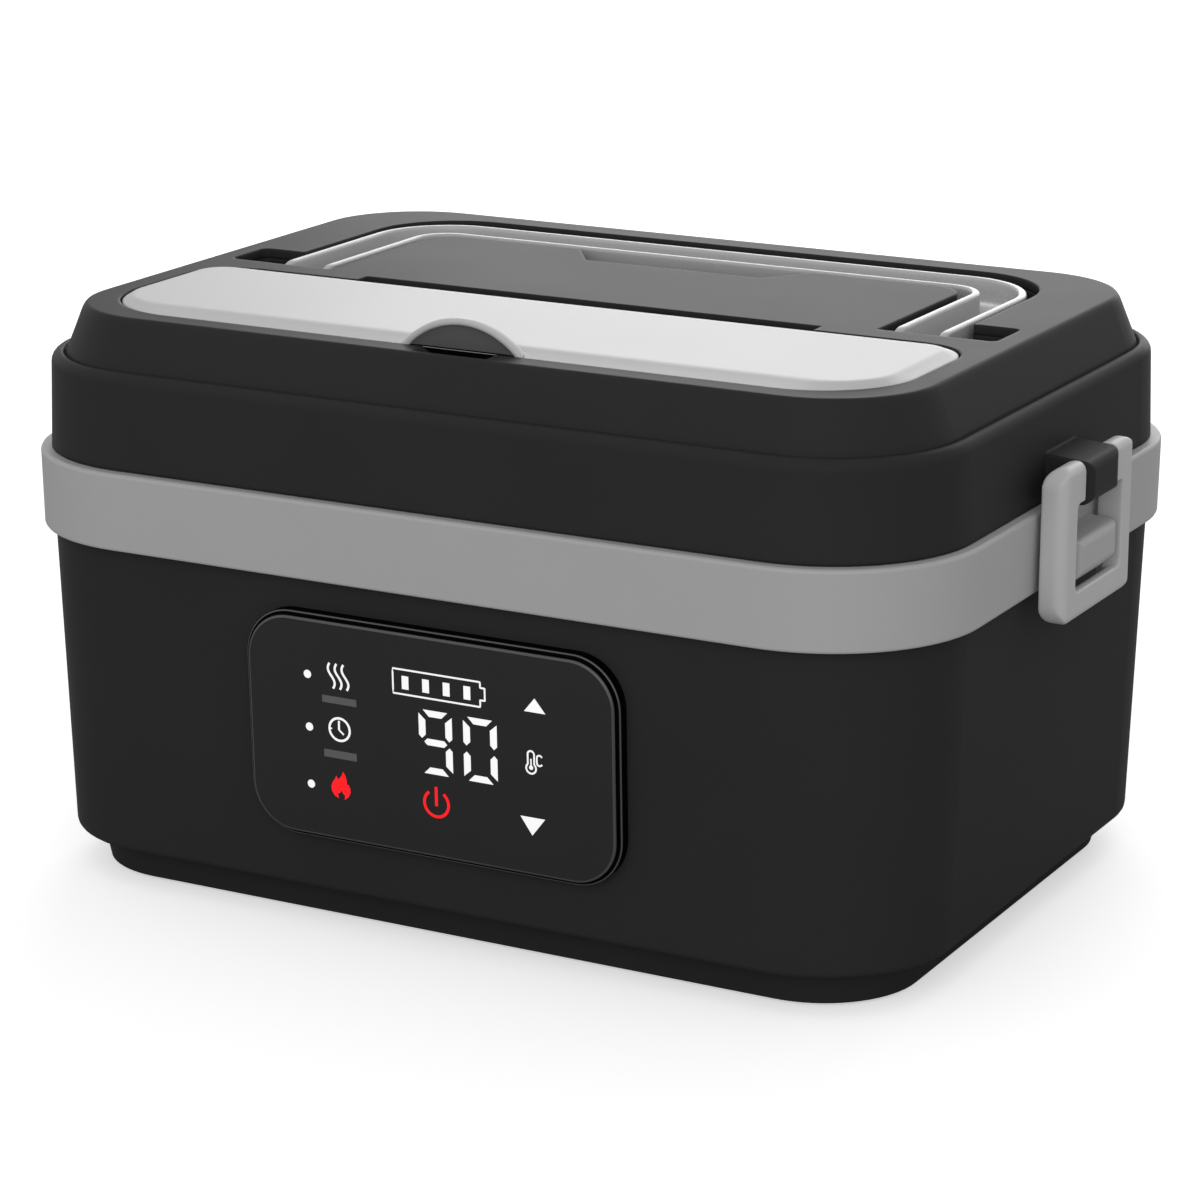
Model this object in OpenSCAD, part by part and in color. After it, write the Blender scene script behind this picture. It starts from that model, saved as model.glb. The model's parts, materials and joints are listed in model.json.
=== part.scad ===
// Electric lunch box: battery-heated food carrier with a lift-off lid, two side clips,
// a fold-down carry handle and a cutlery compartment under a hinged cover.
// Millimetres, +Z up. Width runs along X, the control panel faces -Y, the floor is z = 0.
// "inset" means the horizontal distance inwards from the rim band's outer face.

/* [Body] */
// overall width over the rim band
body_w = 240; // [200:1:300]
// overall depth over the rim band
body_d = 176; // [150:1:220]
// plan corner radius of the rim band
corner_r = 37; // [30:1:45]
// height of the lower body's top edge, under the band
body_top = 85.3; // [75:0.1:100]
// height of the band's top edge
band_top = 103.8; // [95:0.1:125]
// shell wall thickness
wall = 2.4; // [2:0.1:3]
// how far the rubber feet stand proud of the plinth
foot_h = 0.8; // [0.5:0.1:2]

/* [Lid] */
// height of the lid's outer skirt above the band
skirt_h = 22.8; // [18:0.1:30]
// height of the lid's raised crown above its ledge
crown_h = 11.5; // [9:0.1:16]

/* [Clips] */
// width of each side clip
clip_w = 42; // [36:1:50]
// width of the opening in each clip
clip_window_w = 27.4; // [22:0.2:32]
// width of the lid's hinge block inside each clip
block_w = 18; // [14:1:22]
// radius of the clip hinge pins
clip_pin_r = 1.5; // [1.2:0.1:2]

/* [Handle] */
// overall width of the handle over its arms
handle_w = 178.4; // [150:1:190]
// width of the handle's channel section
handle_b = 13.2; // [11:0.1:16]
// height of the handle's channel section
handle_h = 11; // [9:0.1:13]
// wall thickness of the handle's channel
handle_t = 1.5; // [1.2:0.1:2.5]
// radius of the handle's hinge pins
handle_pin_r = 1.8; // [1.5:0.1:2.5]

/* [Cutlery cover] */
// width of the cutlery cover
cover_w = 203; // [180:1:206]
// thickness of the cutlery cover
cover_t = 2.2; // [1.8:0.1:3]
// height of the thumb tab above the cover
tab_h = 7; // [4:0.5:9]
// width of the thumb tab at the cover
tab_w = 31; // [20:1:40]

/* [Panel] */
// width of the control panel bezel
panel_w = 97; // [80:0.1:110]
// height of the control panel bezel
panel_h = 54.2; // [40:0.1:60]
// corner radius of the bezel
panel_r = 12; // [5:0.5:14]
// sideways place of the panel boards and of the thumb tab
panel_x = 1; // [0:0.5:2]
// sideways place of the panel frame and window
bezel_x = 2.5; // [0:0.5:4]

/* [Battery] */
// diameter of one battery cell
cell_d = 18.2; // [14:0.1:21]
// length of one battery cell
cell_l = 65; // [50:1:70]

/* [Hidden] */
$fn = 72;
eps = 0.01;
running = 0.05;
half_w = body_w / 2;
half_d = body_d / 2;

// outline heights and insets, floor to rim
plinth_top = foot_h + 8.5;
plinth_inset = 13.3;
plinth_top_inset = 11.6;
shell_round = 1.6;
shell_low_inset = 5.35;
shell_high_inset = 2.95;
draft = (shell_low_inset - shell_high_inset) / (body_top - plinth_top - shell_round);
draft_angle = atan(draft);
function shell_inset(z) = shell_high_inset + draft * (body_top - z);

// lid outline
lid_base = band_top + 0.2;
ledge_z = lid_base + skirt_h - 0.2;
lid_top = ledge_z + crown_h;
skirt_low_inset = 2.65;
skirt_high_inset = 3.3;
ledge_inset = 6.9;
crown_inset = 10.6;
top_inset = 12.3;
crown_round = 2.4;

// screws and feet
post_r = 4;
post_h = 22;
screw_r = 1.45;
screw_len = 16;
screw_head_r = 2.8;
screw_head_h = 2;
screw_play = 0.05;
head_play = 0.3;
head_sink = 3.4;
foot_r = 6;
foot_sink = 0.8;
base_t = 2;
vent_pitch = 9;
vent_w = 3;
vent_l = 32;
lid_post_r = 4.2;
lid_screw_r = 1.2;
lid_screw_len = 9;
lid_head_r = 2;
lid_head_h = 0.5;
lid_screw_inset = 8.8;
lid_screw_diag = corner_r - (corner_r - lid_screw_inset) * cos(45);

// lined cavity for the food container
flange_z = 101.6 + (band_top - 103.8);
liner_inset = 14.6;
liner_low_inset = 17.2;
liner_t = 1.2;
liner_floor = 44;
pot_gap = 0.4;
pot_t = 0.9;
pot_rim_h = 1.4;
pot_inset = liner_inset + liner_t + pot_gap + 0.4;
pot_low_inset = liner_low_inset + liner_t + pot_gap + 1.2;
pot_floor = liner_floor + liner_t + 0.3;

// cutlery compartment and cover
cover_front = -half_d + 18.7;
cover_back = -13.8;
cover_rear_r = 12;
cover_front_r = 23;
bevel_front = 10.8;
bevel_side = 6.6;
bevel_drop = 2.4;
cover_gap = 0.5;
hinge_drop = 2.6;
hinge_y = cover_back + hinge_drop;
hinge_z = lid_top - hinge_drop;
hinge_r = 1.7;
hinge_pin_r = 0.8;
hinge_gap = 0.8;
hinge_low = hinge_z - hinge_r - 0.2;
cover_low = lid_top - bevel_drop - 0.9;
slot_half = 61;
slot_back = -8.4;
tray_floor = lid_top - 18;
tray_inset = 5;

// handle place
handle_front = -4.6;
handle_pivot_y = handle_front + handle_h / 2;
handle_pivot_z = lid_top - handle_h / 2;
handle_back = half_d - 25.3;
handle_r = 21;
well_floor = lid_top - handle_h - 1.4;
well_back = half_d - 20;
well_gap = 1.6;
core_gap = 2.4;
core_half = handle_w / 2 - handle_b - core_gap;
handle_pin_in = 9.5;
handle_pin_l = handle_pin_in + core_gap + handle_b - 2;
pocket_out = 13.4;
pocket_back = 10.2;
pocket_r = 2;
grip_floor = lid_top - 4.3;
grip_ramp = 14;
grip_lead = 1.5;
scoop_half = 33;
scoop_len = 12;
scoop_drop = 3.4;

// side clips
clip_face = half_w + 7.2;
clip_back = half_w + 1;
clip_bar_back = half_w + 3;
clip_pivot_x = (clip_face + clip_back) / 2;
clip_pivot_z = lid_base + 6;
clip_head = 4.4;
clip_corner = 5.5;
clip_top_r = 5;
clip_soft = 2.2;
clip_nape = 3.9;
clip_heel = 3;
clip_block_gap = 0.3;
clip_skin = 2.5;
clip_low = body_top - 7.3;
clip_window_low = body_top - 0.4;
clip_stub_z = clip_pivot_z - 4.6;
tooth_low = body_top + 1.2;
tooth_high = body_top + 10.9;
tooth_w = 22.8;
block_face = half_w + 8.3;
block_low = lid_base;
block_high = lid_base + 10.1;
block_soft = 2.4;
tooth_soft = 2;

// charging socket in the back wall
socket_z = 24;
socket_y = half_d - shell_inset(socket_z);
socket_w = 9.4;
socket_h = 3.6;
socket_t = 0.4;
socket_l = 8;
socket_play = 0.5;
socket_back_h = 6.4;

// control panel, tilted like the wall behind it
panel_z = 50;
panel_y = -(half_d - shell_inset(panel_z));
bezel_z = panel_z + 0.7;
bezel_t = 2.9;
plate_t = 4.1;
plate_in = 1;

// ---- shared forms ----

// points of an arc about c, from angle a0 to a1
function arc(c, r, a0, a1, n = 5) =
  [for (i = [0:n]) [c[0] + r * cos(a0 + (a1 - a0) * i / n), c[1] + r * sin(a0 + (a1 - a0) * i / n)]];

// a rounded rectangle centred on c
module round_rect(w, h, r, c = [0, 0]) {
  translate(c)
    union() {
      square([w - 2 * r, h], center = true);
      square([w, h - 2 * r], center = true);
      for (sx = [-1, 1])
        for (sy = [-1, 1])
          translate([sx * (w / 2 - r), sy * (h / 2 - r)])
            circle(r);
    }
}

// straight-sided block that follows the box's outline at an inset
module slab(inset, z0, z1) {
  translate([0, 0, z0])
    linear_extrude(z1 - z0)
      round_rect(body_w - 2 * inset, body_d - 2 * inset, corner_r - inset);
}

// wall section of [inset, z] points carried round the box's outline
module loop(pts) {
  for (sx = [0, 1])
    for (sy = [0, 1])
      mirror([sx, 0, 0])
        mirror([0, sy, 0])
          translate([half_w - corner_r, half_d - corner_r, 0])
            rotate_extrude(angle = 90)
              polygon([for (p = pts) [corner_r - p[0], p[1]]]);
  for (sy = [0, 1])
    mirror([0, sy, 0])
      translate([-(half_w - corner_r), 0, 0])
        rotate([90, 0, 90])
          linear_extrude(body_w - 2 * corner_r)
            polygon([for (p = pts) [half_d - p[0], p[1]]]);
  for (sx = [0, 1])
    mirror([sx, 0, 0])
      translate([0, half_d - corner_r, 0])
        rotate([90, 0, 0])
          linear_extrude(body_d - 2 * corner_r)
            polygon([for (p = pts) [half_w - p[0], p[1]]]);
}

// pan-head screw pointing up, head underside at z
module screw(p, z, r, len, head_r, head_h) {
  translate([p[0], p[1], z]) {
    cylinder(h = len, r = r);
    translate([0, 0, -head_h])
      difference() {
        cylinder(h = head_h, r = head_r);
        for (a = [0, 90])
          rotate(a)
            translate([-head_r * 0.6, -head_r * 0.16, -eps])
              cube([head_r * 1.2, head_r * 0.32, head_h * 0.5]);
      }
  }
}

// box given by its low and high corners
module box(a, b) {
  translate(a)
    cube([b[0] - a[0], b[1] - a[1], b[2] - a[2]]);
}

// things on the front wall: x, height and depth measured in the tilted wall's plane
module on_front(x, z) {
  translate([x, panel_y, panel_z])
    rotate([draft_angle, 0, 0])
      translate([0, 0, z - panel_z])
        rotate([90, 0, 0])
          children();
}

// ---- lower body ----

base_screw_at = [for (sx = [-1, 1]) for (sy = [-1, 1]) [sx * (half_w - 32), sy * (half_d - 30)]];
foot_at = [for (sx = [-1, 1]) for (sy = [-1, 1]) [sx * (half_w - 38), sy * (half_d - 24)]];

module shell_wall() {
  low = plinth_top;
  loop(concat(
    [[plinth_top_inset, low], [shell_low_inset + shell_round, low]],
    arc([shell_low_inset + shell_round, low + shell_round], shell_round, 270, 180, 4),
    [[shell_high_inset, body_top], [shell_high_inset, band_top - 1.2],
     [shell_high_inset + wall, band_top - 1.2], [shell_high_inset + wall, flange_z - liner_t],
     [shell_high_inset + wall + 3, flange_z - liner_t], [shell_high_inset + wall + 3, flange_z - liner_t - 1],
     [shell_high_inset + wall, flange_z - liner_t - 4], [shell_high_inset + wall, body_top],
     [shell_low_inset + wall, low + wall + shell_round],
     [shell_low_inset + wall + 1.2, low + wall], [plinth_top_inset, low + wall]]));
}

module outer_shell() {
  color("#2b2b2b")
    difference() {
      union() {
        shell_wall();
        for (p = base_screw_at)
          translate([p[0], p[1], plinth_top])
            cylinder(h = post_h, r = post_r);
        for (p = base_screw_at)
          box([p[0] > 0 ? p[0] : -half_w + shell_low_inset + 1, p[1] - 1, plinth_top + shell_round],
              [p[0] > 0 ? half_w - shell_low_inset - 1 : p[0], p[1] + 1, plinth_top + post_h * 0.6]);
      }
      for (p = base_screw_at)
        translate([p[0], p[1], plinth_top - eps])
          cylinder(h = screw_len + 2, r = screw_r + screw_play);
      translate([panel_x, -half_d + 6, panel_z])
        cube([panel_w - 16, 14, panel_h - 14], center = true);
      translate([0, half_d - 6, socket_z])
        rotate([90, 0, 0])
          linear_extrude(14, center = true)
            round_rect(socket_w + 2 * socket_play, socket_h + 2 * socket_play, socket_h / 2 + 0.4);
    }
}

// catch tooth that a clip's lower bar hooks under, on the +X side
module tooth() {
  intersection() {
    translate([0, tooth_w / 2, 0])
      rotate([90, 0, 0])
        linear_extrude(tooth_w)
          polygon(concat(
            [[half_w - 1.5, tooth_low], [clip_face - 2, tooth_low], [clip_face - 0.4, tooth_low + 1.7]],
            [[clip_face, tooth_low + 2.6]],
            arc([clip_face - tooth_soft, tooth_high - tooth_soft], tooth_soft, 0, 90, 5),
            [[half_w - 1.5, tooth_high + 0.8]]));
    translate([half_w - 2, 0, (tooth_low + tooth_high) / 2])
      rotate([90, 0, 90])
        linear_extrude(10)
          round_rect(tooth_w, tooth_high - tooth_low + 1.8, tooth_soft, [0, 0.4]);
    translate([0, 0, tooth_low - 1])
      linear_extrude(tooth_high - tooth_low + 3)
        round_rect(2 * clip_face, tooth_w, tooth_soft);
  }
}

module rim_band() {
  color("#9a9a9a") {
    loop([[0.55, body_top], [0.35, body_top + 0.4], [0.05, band_top - 0.8], [0.25, band_top - 0.3],
          [0.8, band_top], [shell_high_inset + wall, band_top],
          [shell_high_inset + wall, band_top - 1.2], [shell_high_inset, band_top - 1.2],
          [shell_high_inset, body_top]]);
    for (sx = [0, 1])
      mirror([sx, 0, 0])
        tooth();
  }
}

module base_cover() {
  color("#242424")
    difference() {
      union() {
        loop([[plinth_inset, foot_h], [plinth_top_inset, plinth_top - 0.4], [plinth_top_inset, plinth_top],
              [plinth_top_inset + wall, plinth_top], [plinth_inset + wall, foot_h]]);
        slab(plinth_inset + 0.6, foot_h, foot_h + base_t);
        for (p = base_screw_at)
          translate([p[0], p[1], foot_h])
            cylinder(h = plinth_top - foot_h, r = post_r + 0.6);
      }
      for (p = base_screw_at)
        translate([p[0], p[1], 0]) {
          cylinder(h = foot_h + head_sink, r = screw_head_r + head_play);
          cylinder(h = plinth_top + 1, r = screw_r + 3 * screw_play);
        }
      for (p = foot_at)
        translate([p[0], p[1], 0])
          cylinder(h = foot_h + foot_sink, r = foot_r);
      for (i = [-3:3])
        translate([i * vent_pitch, 0, 0])
          box([-vent_w / 2, -vent_l / 2, 0], [vent_w / 2, vent_l / 2, foot_h + base_t + 1]);
    }
}

module rubber_feet() {
  color("#1c1c1c")
    for (p = foot_at)
      translate([p[0], p[1], 0])
        cylinder(h = foot_h + foot_sink, r = foot_r);
}

module base_screws() {
  color("#b8b8b8")
    for (p = base_screw_at)
      screw(p, foot_h + head_sink, screw_r, screw_len, screw_head_r, screw_head_h);
}

// ---- heating bay ----

module heating_liner() {
  color("#c4c6c8") {
    loop([[shell_high_inset + wall + 0.3, flange_z], [shell_high_inset + wall + 0.3, flange_z - liner_t],
          [liner_inset, flange_z - liner_t], [liner_low_inset, liner_floor + 3],
          [liner_low_inset + 3, liner_floor], [liner_low_inset + 6, liner_floor],
          [liner_low_inset + 6, liner_floor + liner_t], [liner_low_inset + liner_t + 2.5, liner_floor + liner_t],
          [liner_low_inset + liner_t, liner_floor + 3.6], [liner_inset + liner_t, flange_z]]);
    slab(liner_low_inset + 5, liner_floor, liner_floor + liner_t);
  }
}

module insulation() {
  color("#d8d4c8")
    difference() {
      slab(9, liner_floor + 6, flange_z - 5);
      slab(liner_inset - 0.4, liner_floor, flange_z);
      box([panel_x - panel_w / 2 - 2, -half_d, 0], [panel_x + panel_w / 2 + 2, -half_d + 20, flange_z - 18]);
    }
}

spreader_w = 150;
spreader_d = 104;
spreader_t = 2;
heater_w = 110;
heater_d = 26;
heater_t = 5;
heater_pitch = 52;
sensor_r = 2.2;
sensor_l = 9;
fuse_r = 2;
fuse_l = 11;
fuse_x = 27.5;

module heat_spreader() {
  color("#cfd2d4")
    translate([0, 0, liner_floor - spreader_t])
      linear_extrude(spreader_t)
        round_rect(spreader_w, spreader_d, 8);
}

module ptc_heater() {
  color("#8b8e92")
    for (sy = [-1, 1])
      translate([-heater_w / 2, sy * heater_pitch / 2 - heater_d / 2, liner_floor - spreader_t - heater_t])
        cube([heater_w, heater_d, heater_t]);
}

module temp_sensor() {
  color("#d9d9d2")
    translate([0, 0, liner_floor - spreader_t - sensor_r * 1.8]) {
      rotate([0, 90, 0])
        cylinder(h = sensor_l, r = sensor_r, center = true);
      box([-sensor_l * 0.55, -sensor_r * 1.4, sensor_r * 0.9], [sensor_l * 0.55, sensor_r * 1.4, sensor_r * 1.8]);
    }
}

module thermal_fuse() {
  color("#c8b48a")
    translate([fuse_x, 0, liner_floor - spreader_t - fuse_r * 1.5]) {
      rotate([0, 90, 0])
        cylinder(h = fuse_l, r = fuse_r, center = true);
      box([-fuse_l * 0.3, -fuse_r * 1.25, fuse_r * 0.7], [fuse_l * 0.3, fuse_r * 1.25, fuse_r * 1.5]);
    }
}

// ---- power and control ----

cell_base = 2;
cell_apart = 1.6;
cell_z = foot_h + base_t + cell_base + cell_d / 2;
cell_pitch = cell_d + cell_apart;
cell_gap = 5;
cell_play = 0.15;
tab_t = 0.3;
tab_high = 7;
holder_end = 3.5;
cell_at = [for (sx = [-1, 1]) for (sy = [-1, 1]) [sx * (cell_l + cell_gap) / 2, sy * cell_pitch / 2]];
tab_at = [for (sx = [-1, 1]) for (side = [-1, 1]) sx * (cell_l + cell_gap) / 2 + side * (cell_l + tab_t) / 2];
pack_w = 2 * cell_l + cell_gap + 2 * holder_end;
pack_d = 2 * cell_pitch + 4;

module battery_cells() {
  color("#3f6f9f")
    for (p = cell_at)
      translate([p[0], p[1], cell_z])
        rotate([0, 90, 0])
          cylinder(h = cell_l, r = cell_d / 2, center = true);
}

module battery_holder() {
  color("#30343a")
    difference() {
      box([-pack_w / 2, -pack_d / 2, foot_h + base_t], [pack_w / 2, pack_d / 2, cell_z - 1.5]);
      for (p = cell_at)
        translate([p[0], p[1], cell_z])
          rotate([0, 90, 0])
            cylinder(h = cell_l + 4 * tab_t, r = cell_d / 2 + cell_play, center = true);
      for (x = tab_at)
        translate([x, 0, cell_z])
          cube([tab_t + 2 * cell_play, 2 * tab_y, tab_high + 2 * cell_play], center = true);
    }
}

module battery_tabs() {
  color("#c9cac6")
    for (x = tab_at)
      translate([x, 0, cell_z])
        cube([tab_t, 2 * tab_y, tab_high], center = true);
}

lead_r = 1.1;
tab_y = cell_pitch / 2 + 4;
board_lift = 10;
board_z = foot_h + base_t + board_lift;
board_wall_gap = 14;
board_d = 40;
board_half_w = 44;
board_y1 = half_d - board_wall_gap;
board_y0 = board_y1 - board_d;
board_t = 1.6;
board_hole = 4;
board_post_r = 2.6;
board_hole_r = 1.2;

module control_board() {
  color("#1f6b3d")
    difference() {
      union() {
        box([-board_half_w, board_y0, board_z], [board_half_w, board_y1, board_z + board_t]);
        for (sx = [-1, 1])
          for (y = [board_y0 + board_hole, board_y1 - board_hole])
            translate([sx * (board_half_w - board_hole), y, foot_h + base_t])
              cylinder(h = board_lift + eps, r = board_post_r);
      }
      for (sx = [-1, 1])
        for (y = [board_y0 + board_hole, board_y1 - board_hole])
          translate([sx * (board_half_w - board_hole), y, foot_h + 2 * base_t])
            cylinder(h = board_z, r = board_hole_r);
    }
}

module chip(x, y, w, d, h) {
  box([x, board_y0 + y, board_z + board_t], [x + w, board_y0 + y + d, board_z + board_t + h]);
}

module control_parts() {
  bw = board_half_w;
  bd = board_d;
  color("#222222") {
    chip(-0.68 * bw, 0.2 * bd, 0.27 * bw, 0.3 * bd, board_t);
    chip(-0.18 * bw, 0.1 * bd, 0.27 * bw, 0.25 * bd, 5 * board_t);
    chip(0.27 * bw, 0.15 * bd, 0.27 * bw, 0.25 * bd, board_t);
    chip(-0.77 * bw, 0.6 * bd, 0.27 * bw, 0.15 * bd, 4 * board_t);
    chip(0.55 * bw, 0.55 * bd, 0.27 * bw, 0.15 * bd, 4 * board_t);
    for (sx = [-1, 1])
      translate([sx * 0.27 * bw, board_y0 + 0.66 * bd, board_z + board_t])
        cylinder(h = 5.5 * board_t, r = 2 * board_t);
  }
}

module power_leads() {
  tab_x = cell_l + cell_gap / 2 + tab_t + lead_r;
  lead_z = board_z + board_t / 2;
  y1 = board_y0 + board_hole;
  heater_under = liner_floor - spreader_t - heater_t;
  color("#a02c22")
    for (sx = [-1, 1]) {
      translate([sx * tab_x, tab_y, lead_z])
        rotate([-90, 0, 0])
          cylinder(h = y1 - tab_y, r = lead_r);
      translate([sx * tab_x, y1, lead_z])
        sphere(lead_r);
      translate([sx * board_half_w, y1, lead_z])
        rotate([0, sx * 90, 0])
          cylinder(h = tab_x - board_half_w, r = lead_r);
      translate([sx * heater_w * 0.3, heater_pitch / 2 + heater_d / 2 - 2 * lead_r, board_z + board_t])
        cylinder(h = heater_under - board_z - board_t, r = lead_r);
      translate([sx * socket_w * 0.3, socket_y - wall - 8, board_z + board_t])
        cylinder(h = socket_z - socket_back_h / 2 - board_z - board_t, r = lead_r / 2);
    }
}

module display_board() {
  color("#1f6b3d")
    on_front(panel_x, panel_z)
      translate([0, 0, -wall - 4.2])
        linear_extrude(1.4)
          round_rect(panel_w - 20, panel_h - 18, 2);
  color("#20262c")
    on_front(panel_x, panel_z)
      translate([0, 0, -wall - 2.8 - eps])
        linear_extrude(2.8 + wall - 0.2)
          round_rect(60, 28, 1);
}

module ribbon_cable() {
  y0 = panel_y + wall + 4.2 + 19 * draft;
  color("#b9a878") {
    box([panel_x - 8, y0, board_z + 0.6], [panel_x + 8, y0 + 0.6, panel_z - 14]);
    box([panel_x - 8, y0, board_z], [panel_x + 8, -pack_d / 2 - 3, board_z + 0.6]);
    box([panel_x - 8, -pack_d / 2 - 3.6, board_z], [panel_x + 8, -pack_d / 2 - 3, cell_z + cell_d / 2 + 1.6]);
    box([panel_x - 8, -pack_d / 2 - 3.6, cell_z + cell_d / 2 + 1], [panel_x + 8, board_y0 - 1.4,
        cell_z + cell_d / 2 + 1.6]);
    box([panel_x - 8, board_y0 - 2, board_z], [panel_x + 8, board_y0 - 1.4, cell_z + cell_d / 2 + 1.6]);
    box([panel_x - 8, board_y0 - 2, board_z], [panel_x + 8, board_y0, board_z + 0.6]);
  }
}

module panel_bezel() {
  color("#161616")
    on_front(bezel_x, bezel_z)
      difference() {
        linear_extrude(bezel_t)
          round_rect(panel_w, panel_h, panel_r);
        translate([0, 0, -1])
          linear_extrude(bezel_t + 2)
            round_rect(panel_w - 2 * plate_in, panel_h - 2 * plate_in, panel_r - plate_in);
      }
}

module touch_panel() {
  color("#0e0e0e")
    on_front(bezel_x, bezel_z)
      linear_extrude(plate_t)
        round_rect(panel_w - 2 * plate_in, panel_h - 2 * plate_in, panel_r - plate_in);
}

module charge_socket() {
  back = socket_y - 0.6 - socket_l;
  color("#b0b3b5") {
    translate([0, socket_y - 0.6, socket_z])
      rotate([90, 0, 0])
        difference() {
          linear_extrude(socket_l)
            round_rect(socket_w, socket_h, socket_h / 2 - 0.1);
          translate([0, 0, -eps])
            linear_extrude(socket_l - 2)
              difference() {
                round_rect(socket_w - 2 * socket_t, socket_h - 2 * socket_t, socket_h / 2 - socket_t - 0.1);
                square([socket_w * 0.68, socket_t * 2], center = true);
              }
        }
    box([-socket_w * 0.64, back - 2.4, socket_z - socket_back_h / 2],
        [socket_w * 0.64, back + 1, socket_z + socket_back_h / 2]);
  }
}

module food_container() {
  color("#d4d7d9") {
    loop([[pot_inset - 5, flange_z], [pot_inset, flange_z], [pot_low_inset, pot_floor + 5],
          [pot_low_inset + 1.5, pot_floor + 1.5], [pot_low_inset + 5, pot_floor],
          [pot_low_inset + 6, pot_floor], [pot_low_inset + 6, pot_floor + pot_t],
          [pot_low_inset + 5.2, pot_floor + pot_t], [pot_low_inset + 2.2, pot_floor + 2.2],
          [pot_low_inset + pot_t, pot_floor + 5.2], [pot_inset + pot_t, flange_z + pot_rim_h],
          [pot_inset - 5, flange_z + pot_rim_h]]);
    slab(pot_low_inset + 5.5, pot_floor, pot_floor + pot_t);
  }
}

// ---- lid ----

lid_screw_at = concat([for (sx = [-1, 1]) for (sy = [-1, 1])
                         [sx * (half_w - lid_screw_diag), sy * (half_d - lid_screw_diag)]],
                      [for (sx = [-1, 1]) [sx * (half_w - lid_screw_inset), block_w + 4]]);

// the lid's two mouldings meet under the groove at the ledge's inner edge
seam_inset = ledge_inset - 0.4;
groove_z = ledge_z - 0.7;
under_ledge_z = ledge_z - wall - 1.6;
seam_low_z = under_ledge_z + 1.6 * (seam_inset - skirt_high_inset - wall - 0.4)
             / (ledge_inset - skirt_high_inset - 0.4);

// lower moulding's wall section: the skirt up to the groove
module skirt_wall() {
  loop(concat(
    [[skirt_low_inset, lid_base], [skirt_high_inset, ledge_z - 2.4]],
    arc([skirt_high_inset + 2.6, ledge_z - 2.4], 2.6, 180, 104, 5),
    [[ledge_inset - 0.8, ledge_z], [ledge_inset - 0.7, groove_z], [seam_inset, groove_z], [seam_inset, seam_low_z],
     [skirt_high_inset + wall + 0.4, under_ledge_z], [skirt_low_inset + wall, lid_base]]));
}

// upper moulding's wall section: from the groove up the crown; the top plate closes it
module crown_wall() {
  k = (crown_inset - ledge_inset) / (lid_top - crown_round - ledge_z);
  loop(concat(
    [[seam_inset, groove_z], [ledge_inset - 0.1, groove_z], [ledge_inset, ledge_z],
     [crown_inset - k * 0.6, lid_top - crown_round - 0.6]],
    [for (i = [0:5]) let (t = i / 5) [
       (1 - t) * (1 - t) * crown_inset + 2 * t * (1 - t) * (crown_inset + k * crown_round * 0.9) + t * t * top_inset,
       (1 - t) * (1 - t) * (lid_top - crown_round) + 2 * t * (1 - t) * (lid_top - 0.1) + t * t * lid_top]],
    [[top_inset + 4, lid_top], [top_inset + 4, lid_top - wall], [crown_inset + wall, lid_top - wall - 1.6],
     [ledge_inset + wall, ledge_z - wall], [seam_inset, seam_low_z]]));
}

// hinge block for a side clip, on the +X side
module clip_block() {
  intersection() {
    translate([0, block_w / 2, 0])
      rotate([90, 0, 0])
        linear_extrude(block_w)
          polygon(concat(
            [[half_w - skirt_high_inset - 1, block_low]],
            arc([block_face - block_soft, block_low + block_soft], block_soft, 270, 360, 5),
            arc([block_face - block_soft, block_high - block_soft], block_soft, 0, 90, 5),
            [[half_w - skirt_high_inset - 1, block_high + 0.9]]));
    translate([0, 0, block_low - 1])
      linear_extrude(block_high - block_low + 4)
        round_rect(2 * block_face, block_w, block_soft);
  }
}

// plan of the handle's U, at an offset outwards
module handle_plan(out_gap, in_gap, back_gap, front_y) {
  w = handle_w + 2 * out_gap;
  wi = handle_w - 2 * handle_b - 2 * in_gap;
  back = handle_back + back_gap;
  inner_back = handle_back - handle_b - in_gap;
  difference() {
    union() {
      round_rect(w, 2 * handle_r + 10, handle_r + out_gap, [0, back - handle_r - 5]);
      translate([-w / 2, front_y])
        square([w, back - handle_r - front_y - 5 - out_gap]);
    }
    round_rect(wi, 30, 8.5, [0, inner_back - 15]);
    translate([-wi / 2, front_y - 1])
      square([wi, inner_back - 14 - front_y]);
  }
}

// plan of the cutlery cover, grown by g
module cover_plan(g, front_in = 0, side_in = 0) {
  w = cover_w + 2 * g - 2 * side_in;
  f = cover_front - g + front_in;
  b = cover_back + g;
  fr = cover_front_r + g - side_in - 2 * (front_in > 0 ? 1 : 0);
  rr = cover_rear_r + g - side_in * 0.5;
  union() {
    translate([-w / 2, f + fr])
      square([w, b - rr - f - fr]);
    translate([-w / 2 + fr, f])
      square([w - 2 * fr, fr + 1]);
    translate([-w / 2 + rr, b - rr - 1])
      square([w - 2 * rr, rr + 1]);
    for (sx = [-1, 1]) {
      translate([sx * (w / 2 - fr), f + fr])
        circle(fr);
      translate([sx * (w / 2 - rr), b - rr])
        circle(rr);
    }
  }
}

// a moulding that hangs under the lid's top plate, kept inside the crown
module under_lid(low) {
  difference() {
    intersection() {
      union() {
        slab(crown_inset + wall + 0.3, low, lid_top - wall - 1.6);
        slab(top_inset + 4, low, lid_top - wall);
      }
      children();
    }
    lid_cuts();
  }
}

module cutlery_tray() {
  color("#2b2b2b")
    under_lid(tray_floor - 1.8)
      box([-cover_w / 2 - 3, cover_front - 2.4, 0], [cover_w / 2 + 3, slot_back + 2, lid_top]);
}

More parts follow.
